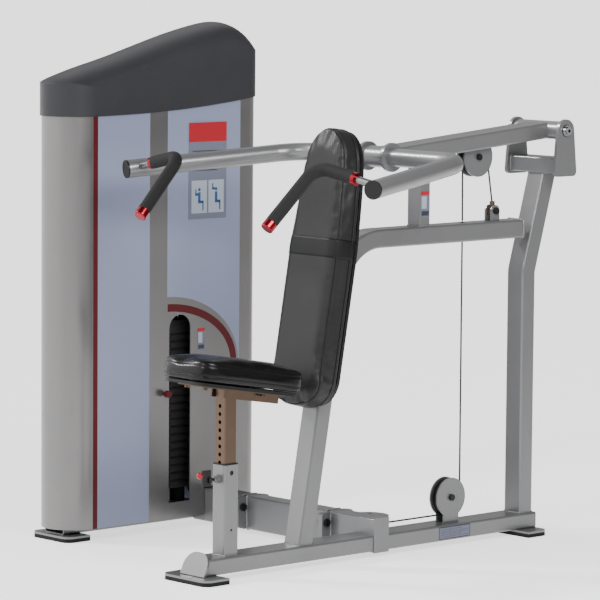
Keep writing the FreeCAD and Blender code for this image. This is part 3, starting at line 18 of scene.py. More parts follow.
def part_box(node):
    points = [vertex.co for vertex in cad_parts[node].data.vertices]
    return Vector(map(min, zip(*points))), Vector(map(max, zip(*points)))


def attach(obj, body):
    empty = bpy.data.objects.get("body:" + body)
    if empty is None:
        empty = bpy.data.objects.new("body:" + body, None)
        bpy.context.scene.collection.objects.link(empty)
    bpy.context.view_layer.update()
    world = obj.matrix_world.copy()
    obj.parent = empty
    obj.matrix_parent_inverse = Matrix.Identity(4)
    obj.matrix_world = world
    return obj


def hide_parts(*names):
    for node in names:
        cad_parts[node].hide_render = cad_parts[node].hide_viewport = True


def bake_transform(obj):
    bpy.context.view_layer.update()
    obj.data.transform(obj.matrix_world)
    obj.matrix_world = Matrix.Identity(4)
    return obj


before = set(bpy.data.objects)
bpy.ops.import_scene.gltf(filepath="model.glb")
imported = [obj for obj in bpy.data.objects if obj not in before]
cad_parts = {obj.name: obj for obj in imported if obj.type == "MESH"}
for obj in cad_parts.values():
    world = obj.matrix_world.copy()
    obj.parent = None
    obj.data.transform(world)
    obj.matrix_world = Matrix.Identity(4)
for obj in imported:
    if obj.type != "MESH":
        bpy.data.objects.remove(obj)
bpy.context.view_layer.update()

LOG = logging.getLogger("shoulder_press")


# ----------------------------------------------------------------- shader maths
class Wire:
    """A shader value that can stand in plain arithmetic."""

    def __init__(self, shader: "Shader", socket: bpy.types.NodeSocket) -> None:
        """Keep the socket and the material that it belongs to.

        Args:
            shader: material under construction.
            socket: output socket that gives the value.
        """
        self.shader = shader
        self.socket = socket

    def _math(self, kind: str, a: object, b: object) -> "Wire":
        """Return one Math node's output.

        Args:
            kind: the Math operation.
            a: first operand.
            b: second operand.

        Returns:
            The result as a new value.
        """
        return self.shader.out("ShaderNodeMath", {"operation": kind}, {0: a, 1: b})

    def __add__(self, other: object) -> "Wire":
        """Return self + other."""
        return self._math("ADD", self, other)

    def __radd__(self, other: object) -> "Wire":
        """Return other + self."""
        return self._math("ADD", other, self)

    def __sub__(self, other: object) -> "Wire":
        """Return self - other."""
        return self._math("SUBTRACT", self, other)

    def __rsub__(self, other: object) -> "Wire":
        """Return other - self."""
        return self._math("SUBTRACT", other, self)

    def __mul__(self, other: object) -> "Wire":
        """Return self * other."""
        return self._math("MULTIPLY", self, other)

    def __rmul__(self, other: object) -> "Wire":
        """Return other * self."""
        return self._math("MULTIPLY", other, self)


class Shader:
    """One material while its nodes are being laid out."""

    def __init__(self, name: str) -> None:
        """Start an empty material with a principled surface.

        Args:
            name: material name.
        """
        self.material = bpy.data.materials.new(name)
        self.material.use_nodes = True
        self.tree = self.material.node_tree
        self.tree.nodes.clear()
        self.surface = self.tree.nodes.new("ShaderNodeBsdfPrincipled")
        end = self.tree.nodes.new("ShaderNodeOutputMaterial")
        self.tree.links.new(self.surface.outputs[0], end.inputs[0])

    @classmethod
    def over(cls, tree: bpy.types.NodeTree) -> "Shader":
        """Return a shader that lays its nodes in a tree that is already there.

        Args:
            tree: the tree.

        Returns:
            The shader, without a material.
        """
        shader = cls.__new__(cls)
        shader.tree = tree
        return shader

    def node(self, kind: str, settings: dict, inputs: dict) -> bpy.types.Node:
        """Add a node.

        Args:
            kind: node type.
            settings: attributes, set before the sockets.
            inputs: values or links by socket name or number.

        Returns:
            The new node.
        """
        made = self.tree.nodes.new(kind)
        for key, value in settings.items():
            setattr(made, key, value)
        for key, value in inputs.items():
            self.feed(made.inputs[key], value)
        return made

    def feed(self, socket: bpy.types.NodeSocket, value: object) -> None:
        """Link or set one input.

        Args:
            socket: the input.
            value: a Wire, an output socket, a number or a colour.
        """
        if isinstance(value, Wire):
            self.tree.links.new(value.socket, socket)
        elif isinstance(value, bpy.types.NodeSocket):
            self.tree.links.new(value, socket)
        elif socket.type == "RGBA" and len(value) == 3:
            socket.default_value = (*value, 1.0)
        else:
            socket.default_value = value

    def out(self, kind: str, settings: dict, inputs: dict, index: int | str = 0) -> Wire:
        """Add a node and return one of its outputs.

        Args:
            kind: node type.
            settings: attributes of the node.
            inputs: values or links of its sockets.
            index: which output is returned.

        Returns:
            The output as a value.
        """
        return Wire(self, self.node(kind, settings, inputs).outputs[index])

    def place(self, stretch: Sequence[float] = (1, 1, 1)) -> Wire:
        """Return object coordinates, in metres, stretched along the axes.

        Args:
            stretch: factor for each axis.

        Returns:
            The coordinates.
        """
        coordinates = self.out("ShaderNodeTexCoord", {}, {}, "Object")
        return self.out("ShaderNodeMapping", {}, {"Vector": coordinates, "Scale": stretch})

    def noise(self, scale: float, detail: float = 3.0, rough: float = 0.5,
              stretch: Sequence[float] = (1, 1, 1)) -> Wire:
        """Return a noise value from 0 to 1.

        Args:
            scale: bumps per metre.
            detail: octaves.
            rough: strength of the finer octaves.
            stretch: factor for each axis.

        Returns:
            The noise.
        """
        inputs = {"Vector": self.place(stretch), "Scale": scale, "Detail": detail,
                  "Roughness": rough}
        return self.out("ShaderNodeTexNoise", {}, inputs)

    def cells(self, scale: float, feature: str = "F1") -> Wire:
        """Return the distance of a cell pattern.

        Args:
            scale: cells per metre.
            feature: which distance.

        Returns:
            The distance.
        """
        return self.out("ShaderNodeTexVoronoi", {"feature": feature},
                        {"Vector": self.place(), "Scale": scale}, "Distance")

    def ramp(self, value: Wire, low: float, high: float) -> Wire:
        """Return value mapped so that low gives 0 and high gives 1, clamped.

        Args:
            value: the input value.
            low: value that gives 0.
            high: value that gives 1.

        Returns:
            The mapped value.
        """
        inputs = {"Value": value, "From Min": low, "From Max": high}
        return self.out("ShaderNodeMapRange", {"clamp": True}, inputs)

    def blend(self, share: object, first: Sequence[float], second: Sequence[float]) -> Wire:
        """Return a mix of two colours.

        Args:
            share: 0 gives first, 1 gives second.
            first: colour or link.
            second: colour or link.

        Returns:
            The mixed colour.
        """
        made = self.tree.nodes.new("ShaderNodeMix")
        made.data_type = "RGBA"
        self.feed(made.inputs[0], share)
        self.feed(made.inputs[6], first)
        self.feed(made.inputs[7], second)
        return Wire(self, made.outputs[2])

    def relief(self, height: Wire, depth: float, strength: float = 1.0) -> None:
        """Raise the surface by a height.

        Args:
            height: 0 to 1.
            depth: metres that 1 stands for.
            strength: share of the effect.
        """
        bump = self.out("ShaderNodeBump", {},
                        {"Height": height, "Distance": depth, "Strength": strength}, "Normal")
        self.feed(self.surface.inputs["Normal"], bump)

    def finish(self, **values: object) -> bpy.types.Material:
        """Set the surface's sockets and return the material.

        Args:
            values: socket names with underscores for spaces.

        Returns:
            The material.
        """
        for key, value in values.items():
            self.feed(self.surface.inputs[key.replace("_", " ")], value)
        return self.material


def tint(colour: Sequence[float], factor: float) -> tuple[float, float, float]:
    """Return a colour made lighter or darker.

    Args:
        colour: linear colour.
        factor: multiplier.

    Returns:
        The new colour, at most 1.
    """
    return tuple(min(1.0, c * factor) for c in colour)


# --------------------------------------------------------------------- finishes
@dataclass(frozen=True)
class Finish:
    """A surface finish that makes its material once."""

    name: str
    colour: tuple[float, float, float]

    def wire(self, shader: Shader) -> bpy.types.Material:
        """Lay out the nodes; each finish has its own."""
        raise NotImplementedError

    def material(self) -> bpy.types.Material:
        """Return the material, made on first use."""
        known = bpy.data.materials.get(self.name)
        return known if known else self.wire(Shader(self.name))


@dataclass(frozen=True)
class PowderCoat(Finish):
    """Baked powder paint with a faint orange peel, a fine fleck and handling marks."""

    rough: float = 0.36
    metal: float = 0.3
    peel: float = 320.0
    peel_depth: float = 0.00012
    coat: float = 0.12

    def wire(self, shader: Shader) -> bpy.types.Material:
        """Lay out the paint."""
        cloud = shader.noise(5.0, 2.0)
        fleck = shader.noise(2600.0, 1.0)
        rub = shader.ramp(shader.noise(34.0, 5.0, 0.62, (1, 1, 0.45)), 0.56, 0.72)
        tone = shader.blend(cloud, tint(self.colour, 0.93), tint(self.colour, 1.05))
        tone = shader.blend(shader.ramp(fleck, 0.45, 0.85) * 0.22, tone, tint(self.colour, 1.5))
        tone = shader.blend(rub * 0.12, tone, tint(self.colour, 0.72))
        shader.relief(shader.noise(self.peel, 2.0), self.peel_depth, 0.6)
        return shader.finish(Base_Color=tone, Metallic=self.metal, Coat_Weight=self.coat,
                             Roughness=self.rough + cloud * 0.06 + rub * 0.08, Specular_IOR_Level=0.25)


@dataclass(frozen=True)
class BareMetal(Finish):
    """Plated or polished metal with fine drawing marks along Z and light smudges."""

    rough: float = 0.12
    streak: float = 0.05
    along: tuple[float, float, float] = (1, 1, 0.03)

    def wire(self, shader: Shader) -> bpy.types.Material:
        """Lay out the metal."""
        lines = shader.noise(900.0, 2.0, 0.6, self.along)
        smudge = shader.noise(28.0, 4.0, 0.6)
        tone = shader.blend(smudge, tint(self.colour, 0.86), tint(self.colour, 1.08))
        shader.relief(lines, 0.00003, self.streak * 8)
        return shader.finish(Base_Color=tone, Metallic=1.0,
                             Roughness=self.rough + lines * self.streak + smudge * 0.07)


@dataclass(frozen=True)
class MouldedPlastic(Finish):
    """Moulded plastic with a fine leather-like tool texture."""

    rough: float = 0.42
    grain: float = 900.0
    depth: float = 0.00008
    shine: float = 0.2

    def wire(self, shader: Shader) -> bpy.types.Material:
        """Lay out the plastic."""
        cloud = shader.noise(7.0, 3.0)
        pebble = shader.cells(self.grain, "SMOOTH_F1")
        scuff = shader.ramp(shader.noise(46.0, 6.0, 0.68, (1, 0.5, 1)), 0.6, 0.74)
        tone = shader.blend(cloud, tint(self.colour, 0.9), tint(self.colour, 1.15))
        tone = shader.blend(scuff * 0.25, tone, tint(self.colour, 1.9))
        shader.relief(pebble, self.depth, 0.5)
        return shader.finish(Base_Color=tone, Roughness=self.rough + cloud * 0.08 + scuff * 0.1,
                             Specular_IOR_Level=self.shine)


@dataclass(frozen=True)
class Vinyl(Finish):
    """Upholstery vinyl with a pebbled grain and soft creases; its tone has painted shade in the crease
    hollows and along the seams, and painted light on the crease rises.
    """

    rough: float = 0.4
    grain: float = 620.0
    shine: float = 0.2
    depth: float = 0.0002

    def wire(self, shader: Shader) -> bpy.types.Material:
        """Lay out the vinyl."""
        seam = shader.out("ShaderNodeAttribute", {"attribute_name": "seam"}, {}, "Fac")
        pebble = shader.cells(self.grain, "DISTANCE_TO_EDGE")
        crease = shader.noise(16.0, 4.0, 0.55)
        worn = shader.ramp(shader.noise(9.0, 3.0), 0.42, 0.7)
        # Painted shade and light: the random tone follows the crease relief, darker in its hollows and
        # lighter on its rises.
        tone = shader.blend(crease, tint(self.colour, 0.82), tint(self.colour, 1.22))
        # Painted shade: the vinyl is darkened along the seam grooves.
        tone = shader.blend(seam * 0.75, tone, tint(self.colour, 0.3))
        height = shader.ramp(pebble, 0.0, 0.22) * 0.55 + crease * 1.6 + shader.noise(1900.0,
                                                                                     2.0) * 0.2
        shader.relief(height, self.depth, 0.55)
        return shader.finish(Base_Color=tone, Roughness=self.rough - worn * 0.08 + seam * 0.2,
                             Specular_IOR_Level=self.shine)


@dataclass(frozen=True)
class Foam(Finish):
    """Closed-cell grip foam with fine pores and pressed dents; its tone has painted shade in the dents
    and painted light on the rises.
    """

    def wire(self, shader: Shader) -> bpy.types.Material:
        """Lay out the foam."""
        pore = shader.cells(1500.0)
        press = shader.noise(30.0, 3.0)
        # Painted shade and light: the random tone follows the pressed relief, darker in its dents and
        # lighter on its rises.
        tone = shader.blend(press, tint(self.colour, 0.75), tint(self.colour, 1.35))
        shader.relief(pore + press * 1.5, 0.00018, 0.8)
        return shader.finish(Base_Color=tone, Roughness=0.7 + press * 0.12,
                             Specular_IOR_Level=0.2)


@dataclass(frozen=True)
class Rubber(Finish):
    """Matte rubber with dust in its texture."""

    rough: float = 0.78

    def wire(self, shader: Shader) -> bpy.types.Material:
        """Lay out the rubber."""
        cloud = shader.noise(40.0, 5.0, 0.6)
        tone = shader.blend(cloud, tint(self.colour, 0.7), tint(self.colour, 1.6))
        shader.relief(shader.noise(700.0, 3.0), 0.00015, 0.7)
        return shader.finish(Base_Color=tone, Roughness=self.rough + cloud * 0.12,
                             Specular_IOR_Level=0.2)


@dataclass(frozen=True)
class CastIron(Finish):
    """Painted cast plate with a pitted skin."""

    def wire(self, shader: Shader) -> bpy.types.Material:
        """Lay out the painted casting."""
        pit = shader.noise(260.0, 5.0, 0.66)
        cloud = shader.noise(18.0, 3.0)
        tone = shader.blend(cloud, tint(self.colour, 0.7), tint(self.colour, 1.4))
        tone = shader.blend(shader.ramp(pit, 0.6, 0.75) * 0.3, tone, tint(self.colour, 3.0))
        shader.relief(pit, 0.0004, 0.7)
        return shader.finish(Base_Color=tone, Roughness=0.5 + pit * 0.2)


@dataclass(frozen=True)
class SheetPanel(Finish):
    """Pale coated sheet with a soft cloud and light handling marks."""

    rough: float = 0.32

    def wire(self, shader: Shader) -> bpy.types.Material:
        """Lay out the sheet."""
        cloud = shader.noise(2.2, 2.0)
        mark = shader.ramp(shader.noise(24.0, 5.0, 0.62), 0.6, 0.75)
        tone = shader.blend(cloud, tint(self.colour, 0.95), tint(self.colour, 1.04))
        tone = shader.blend(mark * 0.06, tone, tint(self.colour, 0.7))
        shader.relief(shader.noise(420.0, 2.0), 0.00006, 0.5)
        return shader.finish(Base_Color=tone, Roughness=self.rough + cloud * 0.08 + mark * 0.08,
                             Specular_IOR_Level=0.35)


@dataclass(frozen=True)
class WireRope(Finish):
    """Black coated wire rope whose strands show faintly through the coat as relief; its tone has
    painted shade in the hollows and painted light on the rises of that relief.
    """

    def wire(self, shader: Shader) -> bpy.types.Material:
        """Lay out the rope coat."""
        lay = shader.noise(420.0, 1.0, 0.5, (1, 1, 1))
        # Painted shade and light: the tone follows the lay relief, darker in its hollows and lighter
        # on its rises.
        tone = shader.blend(lay, tint(self.colour, 0.6), tint(self.colour, 1.6))
        shader.relief(lay, 0.0003, 0.6)
        return shader.finish(Base_Color=tone, Roughness=0.45 + lay * 0.15)


class Tone(Enum):
    """Every finish on the machine."""

    FRAME = PowderCoat("frame silver paint", (0.15, 0.151, 0.154), 0.28, 0.55)
    WELD = PowderCoat("weld bead paint", (0.17, 0.171, 0.175), 0.26, 0.55, 900.0, 0.0003)
    TOWER = PowderCoat("tower silver paint", (0.17, 0.166, 0.164), 0.26, 0.8, 500.0, 0.00005, 0.1)
    PANEL = SheetPanel("pale blue grey sheet", (0.175, 0.195, 0.28))
    STRIPE = PowderCoat("dark red paint", (0.06, 0.0, 0.002), 0.45, 0.0, 320.0, 0.00005, 0.0)
    COVER = MouldedPlastic("black cover plastic", (0.026, 0.026, 0.029), 0.36, 700.0, 0.00008, 0.16)
    PLASTIC = MouldedPlastic("black cap plastic", (0.006, 0.006, 0.0065), 0.4)
    NYLON = MouldedPlastic("black pulley nylon", (0.007, 0.007, 0.007), 0.4, 500.0)
    RED_KNOB = MouldedPlastic("red knob plastic", (0.22, 0.004, 0.01), 0.2, 1200.0, 0.00002, 0.3)
    VINYL = Vinyl("black pad vinyl", (0.004, 0.0038, 0.0037), 0.26, 620.0, 0.2, 0.00006)
    # Painted light: the backrest's copy of the black pad vinyl, made lighter to stand for the light on
    # its front face.
    BACK_VINYL = Vinyl("charcoal pad vinyl", (0.011, 0.011, 0.011), 0.4, 620.0, 0.22)
    BAND = Vinyl("band webbing", (0.004, 0.004, 0.0042), 0.5, 1400.0, 0.2)
    FOAM = Foam("grip foam", (0.008, 0.0078, 0.0083))
    RUBBER = Rubber("black rubber", (0.006, 0.006, 0.0063))
    CHROME = BareMetal("polished chrome", (0.36, 0.36, 0.37), 0.06, 0.03)
    STEEL = BareMetal("bright steel", (0.2, 0.197, 0.2), 0.2, 0.1)
    ZINC = BareMetal("zinc passivate", (0.105, 0.072, 0.052), 0.24, 0.16)
    RED = BareMetal("red anodised", (0.24, 0.012, 0.02), 0.18, 0.05)
    BLACK_STEEL = PowderCoat("black oxide steel", (0.008, 0.008, 0.009), 0.35, 0.5)
    PLATE = CastIron("black cast plate", (0.005, 0.005, 0.0055))
    ROPE = WireRope("black wire rope", (0.005, 0.005, 0.005))
    LABEL = SheetPanel("placard grey", (0.105, 0.112, 0.155), 0.4)
    LABEL_RED = SheetPanel("placard red", (0.3, 0.006, 0.014), 0.36)
    LABEL_WHITE = SheetPanel("placard white", (0.27, 0.30, 0.35), 0.36)
    LABEL_DARK = SheetPanel("placard print", (0.02, 0.021, 0.03), 0.4)
    LABEL_BLUE = SheetPanel("placard blue", (0.01, 0.06, 0.17), 0.36)

    def paint(self, piece: bpy.types.Object) -> bpy.types.Object:
        """Give a piece this finish alone.

        Args:
            piece: the object to paint.

        Returns:
            The same object.
        """
        piece.data.materials.clear()
        piece.data.materials.append(self.value.material())
        return piece


# ------------------------------------------------------------------ mesh helpers
def new_piece(name: str, mesh: bmesh.types.BMesh, smooth: bool = True) -> bpy.types.Object:
    """Turn a bmesh into an object that stands at the origin.

    Args:
        name: piece name.
        mesh: shape in place, in metres.
        smooth: shade the faces smoothly.

    Returns:
        The new object.
    """
    data = bpy.data.meshes.new(name)
    for face in mesh.faces:
        face.smooth = smooth
    mesh.to_mesh(data)
    mesh.free()
    piece = bpy.data.objects.new(name, data)
    bpy.context.scene.collection.objects.link(piece)
    return piece


def soften(mesh: bmesh.types.BMesh, radius: float, segments: int = 2) -> None:
    """Round every sharp edge.

    Args:
        mesh: shape to round.
        radius: width of the rounding.
        segments: faces across it.
    """
    edges = [e for e in mesh.edges if len(e.link_faces) == 2 and e.calc_face_angle(0) > 0.5]
    bmesh.ops.bevel(mesh, geom=edges, offset=radius, offset_type="OFFSET", segments=segments,
                    profile=0.5, affect="EDGES", material=-1, clamp_overlap=True)


def block(mesh: bmesh.types.BMesh, low: Vector, high: Vector) -> list[bmesh.types.BMVert]:
    """Add a box between two corners.

    Args:
        mesh: where it goes.
        low: lowest corner.
        high: highest corner.

    Returns:
        Its vertices.
    """
    size = Vector(high) - Vector(low)
    place = Matrix.Translation((Vector(low) + Vector(high)) / 2) @ Matrix.Diagonal((*size, 1))
    return bmesh.ops.create_cube(mesh, size=1.0, matrix=place)["verts"]


def turned(name: str, profile: Sequence[tuple[float, float]], centre: Vector, axis: Vector,
           steps: int = 40) -> bpy.types.Object:
    """Turn a profile round an axis.

    Args:
        name: piece name.
        profile: (radius, distance along the axis) pairs, from pole to pole.
        centre: where distance 0 is.
        axis: direction of the distances.
        steps: faces round the axis.

    Returns:
        The closed piece.
    """
    mesh = bmesh.new()
    points = [mesh.verts.new((radius, 0, height)) for radius, height in profile]
    edges = [mesh.edges.new(pair) for pair in zip(points, points[1:])]
    bmesh.ops.spin(mesh, geom=points + edges, cent=(0, 0, 0), axis=(0, 0, 1), dvec=(0, 0, 0),
                   angle=2 * math.pi, steps=steps, use_merge=True)
    bmesh.ops.remove_doubles(mesh, verts=mesh.verts, dist=1e-6)
    bmesh.ops.recalc_face_normals(mesh, faces=mesh.faces)
    turn = Vector((0, 0, 1)).rotation_difference(Vector(axis)).to_matrix().to_4x4()
    mesh.transform(Matrix.Translation(centre) @ turn)
    return new_piece(name, mesh)


def tube(name: str, points: Sequence[Vector], radius: float, closed: bool = False,
         smooth_line: bool = True) -> bpy.types.Object:
    """Return a round tube along a line.

    Args:
        name: piece name.
        points: the line.
        radius: radius of the tube.
        closed: join the ends.
        smooth_line: draw one smooth curve through the points.

    Returns:
        The mesh piece.
    """
    curve = bpy.data.curves.new(name, "CURVE")
    curve.dimensions = "3D"
    curve.bevel_depth = radius
    curve.bevel_resolution = 3
    curve.use_fill_caps = not closed
    spline = curve.splines.new("NURBS" if smooth_line else "POLY")
    spline.points.add(len(points) - 1)
    for point, place in zip(spline.points, points):
        point.co = (*place, 1)
    spline.order_u = 3
    spline.use_cyclic_u = closed
    spline.use_endpoint_u = not closed
    spline.resolution_u = 3
    holder = bpy.data.objects.new(name + "_line", curve)
    bpy.context.scene.collection.objects.link(holder)
    data = bpy.data.meshes.new_from_object(holder.evaluated_get(bpy.context.evaluated_depsgraph_get()))
    bpy.data.objects.remove(holder)
    bpy.data.curves.remove(curve)
    data.name = name
    piece = bpy.data.objects.new(name, data)
    bpy.context.scene.collection.objects.link(piece)
    tidy = bmesh.new()
    tidy.from_mesh(data)
    bmesh.ops.remove_doubles(tidy, verts=tidy.verts, dist=1e-6)
    for face in tidy.faces:
        face.smooth = True
    tidy.to_mesh(data)
    tidy.free()
    return piece


def merged_copy(node: str) -> bmesh.types.BMesh:
    """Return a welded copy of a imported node's mesh.

    Args:
        node: node name.

    Returns:
        The copy.
    """
    mesh = bmesh.new()
    mesh.from_mesh(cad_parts[node].data)
    bmesh.ops.remove_doubles(mesh, verts=mesh.verts, dist=1e-5)
    return mesh


def coordinates(data: bpy.types.Mesh) -> np.ndarray:
    """Return a mesh's vertices as an array."""
    flat = np.zeros(len(data.vertices) * 3)
    data.vertices.foreach_get("co", flat)
    return flat.reshape(-1, 3)


def applied(piece: bpy.types.Object) -> None:
    """Replace a piece's mesh by what its modifiers make of it.

    Args:
        piece: the object.
    """
    graph = bpy.context.evaluated_depsgraph_get()
    data = bpy.data.meshes.new_from_object(piece.evaluated_get(graph))
    piece.modifiers.clear()
    old = piece.data
    data.name = old.name
    piece.data = data
    bpy.data.meshes.remove(old)


# -------------------------------------------------------------------- upholstery
@dataclass
class Pad:
    """A foam pad under stitched vinyl, pumped up by a short cloth run.

    The pad is shaped in its own frame: X across, Y along, Z out of the board.
    """

    name: str
    node: str
    body: str
    slot: str
    tone: Tone
    origin: Vector
    along: Vector
    outward: Vector
    depth: tuple[float, float]
    seams: tuple[float, ...]
    voxel: float = 0.0055
    shrink: float = 0.004
    pressure: float = 4.0
    cap: float = 0.012
    fill: float = 0.8
    welt: float = 0.0016
    rounds: int = 3
    calm: int = 5
    stitch: float = 0.0020
    seam_reach: float = 0.0036
    swell_place: float = 0.012
    swell_reach: float = 0.007

    def place(self) -> Matrix:
        """Return the matrix from the pad's own frame to the row frame."""
        across = self.along.cross(self.outward)
        turn = Matrix((across, self.along, self.outward)).transposed().to_4x4()
        return Matrix.Translation(self.origin) @ turn

    def build(self) -> bpy.types.Object:
        """Make the pad and its welts.

        Returns:
            The pad.
        """
        pad = self._start()
        self._pump(pad)
        self._level(pad)
        lines = [self._rim(pad, height) for height in self.seams]
        self._sew(pad, lines)
        home = self.place()
        pad.data.transform(home)
        self.tone.paint(pad)
        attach(pad, self.body)
        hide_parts(self.node)
        for index, line in enumerate(lines):
            welt = tube(f"{self.name}_welt_{index}", line, self.welt, closed=True)
            welt.data.transform(home)
            self.tone.paint(welt)
            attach(welt, self.body)
        return pad

    def _start(self) -> bpy.types.Object:
        """Return the remeshed, slightly shrunk start shape in the pad's frame."""
        mesh = merged_copy(self.node)
        mesh.transform(self.place().inverted())
        pad = new_piece(self.name, mesh)
        remesh = pad.modifiers.new("even", "REMESH")
        remesh.mode = "VOXEL"
        remesh.voxel_size = self.voxel
        remesh.use_smooth_shade = True
        applied(pad)
        mesh = bmesh.new()
        mesh.from_mesh(pad.data)
        for _ in range(self.rounds):
            bmesh.ops.smooth_vert(mesh, verts=mesh.verts, factor=0.5, use_axis_x=True,
                                  use_axis_y=True, use_axis_z=True)
        mesh.normal_update()
        for vert in mesh.verts:
            vert.co -= vert.normal * self.shrink
        mesh.to_mesh(pad.data)
        mesh.free()
        return pad

    def _pump(self, pad: bpy.types.Object) -> None:
        """Run the cloth with inner pressure, the board side held.

        Args:
            pad: piece in its own frame.
        """
        before = coordinates(pad.data)
        floor = self.depth[0] + self.shrink + 0.003
        held = [v.index for v in pad.data.vertices if v.co.z < floor]
        group = pad.vertex_groups.new(name="board")
        group.add(held, 1.0, "REPLACE")
        cloth = pad.modifiers.new("cloth", "CLOTH")
        cloth.settings.quality = 5
        cloth.settings.mass = 0.4
        cloth.settings.tension_stiffness = 18
        cloth.settings.compression_stiffness = 18
        cloth.settings.shear_stiffness = 8
        cloth.settings.bending_stiffness = 8.0
        cloth.settings.use_pressure = True
        cloth.settings.uniform_pressure_force = self.pressure
        cloth.settings.vertex_group_mass = "board"
        cloth.settings.effector_weights.gravity = 0
        cloth.point_cache.frame_start = 1
        cloth.point_cache.frame_end = 20
        scene = bpy.context.scene
        for step in range(1, 21):
            scene.frame_set(step)
        applied(pad)
        scene.frame_set(1)
        pad.vertex_groups.clear()
        after = coordinates(pad.data)
        move = after - before
        far = np.linalg.norm(move, axis=1, keepdims=True)
        move *= np.minimum(1.0, self.cap / np.maximum(far, 1e-9))
        pad.data.vertices.foreach_set("co", (before + move).ravel())
        mesh = bmesh.new()
        mesh.from_mesh(pad.data)
        for _ in range(self.calm):
            bmesh.ops.smooth_vert(mesh, verts=mesh.verts, factor=0.5, use_axis_x=True,
                                  use_axis_y=True, use_axis_z=True)
        mesh.to_mesh(pad.data)
        mesh.free()

    def _level(self, pad: bpy.types.Object) -> None:
        """Subdivide once and keep the board side flat and inside its space.

        Args:
            pad: piece in its own frame.
        """
        finer = pad.modifiers.new("finer", "SUBSURF")
        finer.levels = finer.render_levels = 1
        applied(pad)
        points = coordinates(pad.data)
        points[:, 2] = np.maximum(points[:, 2], self.depth[0])
        pad.data.vertices.foreach_set("co", points.ravel())
        pad.data.update()

    def _rim(self, pad: bpy.types.Object, height: float, count: int = 150) -> list[Vector]:
        """Return the line round the pad's side at a height above the board.

        Args:
            pad: piece in its own frame.
            height: metres along Z.
            count: points in the line.

        Returns:
            Points on the skin.
        """
        points = coordinates(pad.data)
        half = points[:, 0].max()
        low = points[:, 1].min() + half
        high = points[:, 1].max() - half
        tree = BVHTree.FromPolygons([v.co for v in pad.data.vertices],
                                    [p.vertices for p in pad.data.polygons])
        straight = high - low
        total = 2 * straight + 2 * math.pi * half
        line = []
        for index in range(count):
            way = total * index / count
            arc = math.pi * half
            if way < straight:
                centre, angle = Vector((0, low + way, height)), 0.0
            elif way < straight + arc:
                centre, angle = Vector((0, high, height)), (way - straight) / half
            elif way < 2 * straight + arc:
                centre, angle = Vector((0, high - (way - straight - arc), height)), math.pi
            else:
                centre, angle = Vector((0, low, height)), math.pi + (way - 2 * straight - arc) / half
            out = Vector((math.cos(angle), math.sin(angle), 0))
            hit = tree.ray_cast(centre + out * 0.6, -out)[0]
            if hit:
                line.append(hit)
        return line

    def _sew(self, pad: bpy.types.Object, lines: Sequence[Sequence[Vector]]) -> None:
        """Press the skin in along its seams and mark them for the finish, which paints shade into the
        seam grooves.

        Args:
            pad: piece in its own frame.
            lines: the seams.
        """
        dense = []
        for line in lines:
            for a, b in zip(line, line[1:] + line[:1]):
                dense += [(a.lerp(b, k / 6), index) for index, k in enumerate(range(6))]
        tree = KDTree(len(dense))
        for index, (point, _) in enumerate(dense):
            tree.insert(point, index)
        tree.balance()
        # The seam mask also drives painted shade along the seams in the vinyl finish.
        seam = pad.data.attributes.new("seam", "FLOAT", "POINT")
        near = np.zeros(len(pad.data.vertices), np.float32)
        moved = []
        for vert in pad.data.vertices:
            _, index, far = tree.find(vert.co)
            share = math.exp(-((far / self.seam_reach) ** 2))
            swell = math.exp(-(((far - self.swell_place) / self.swell_reach) ** 2))
            pucker = 0.5 + 0.5 * math.sin(index * 0.55)
            near[vert.index] = share
            sink = self.stitch * share - 0.25 * self.stitch * swell * pucker
            moved.append(vert.co - vert.normal * sink)
        for vert, place in zip(pad.data.vertices, moved):
            vert.co = place
        seam.data.foreach_set("value", near)
        pad.data.update()


@dataclass
class Seat:
    """The seat cushion on its board."""

    lean: float = 9.3
    origin: Vector = field(default_factory=lambda: Vector((0, 0.126, 0.621)))

    def build(self) -> bpy.types.Object:
        """Make the cushion."""
        angle = math.radians(self.lean)
        along = Vector((0, math.cos(angle), -math.sin(angle)))
        outward = Vector((0, math.sin(angle), math.cos(angle)))
        return Pad("seat_cushion", "seat_pad", "seat", "vinyl", Tone.VINYL, self.origin, along,
                   outward, (0.0, 0.078), (0.020, 0.054), voxel=0.005, cap=0.014, welt=0.0011,
                   pressure=2.5, rounds=14, calm=18, stitch=0.0009).build()


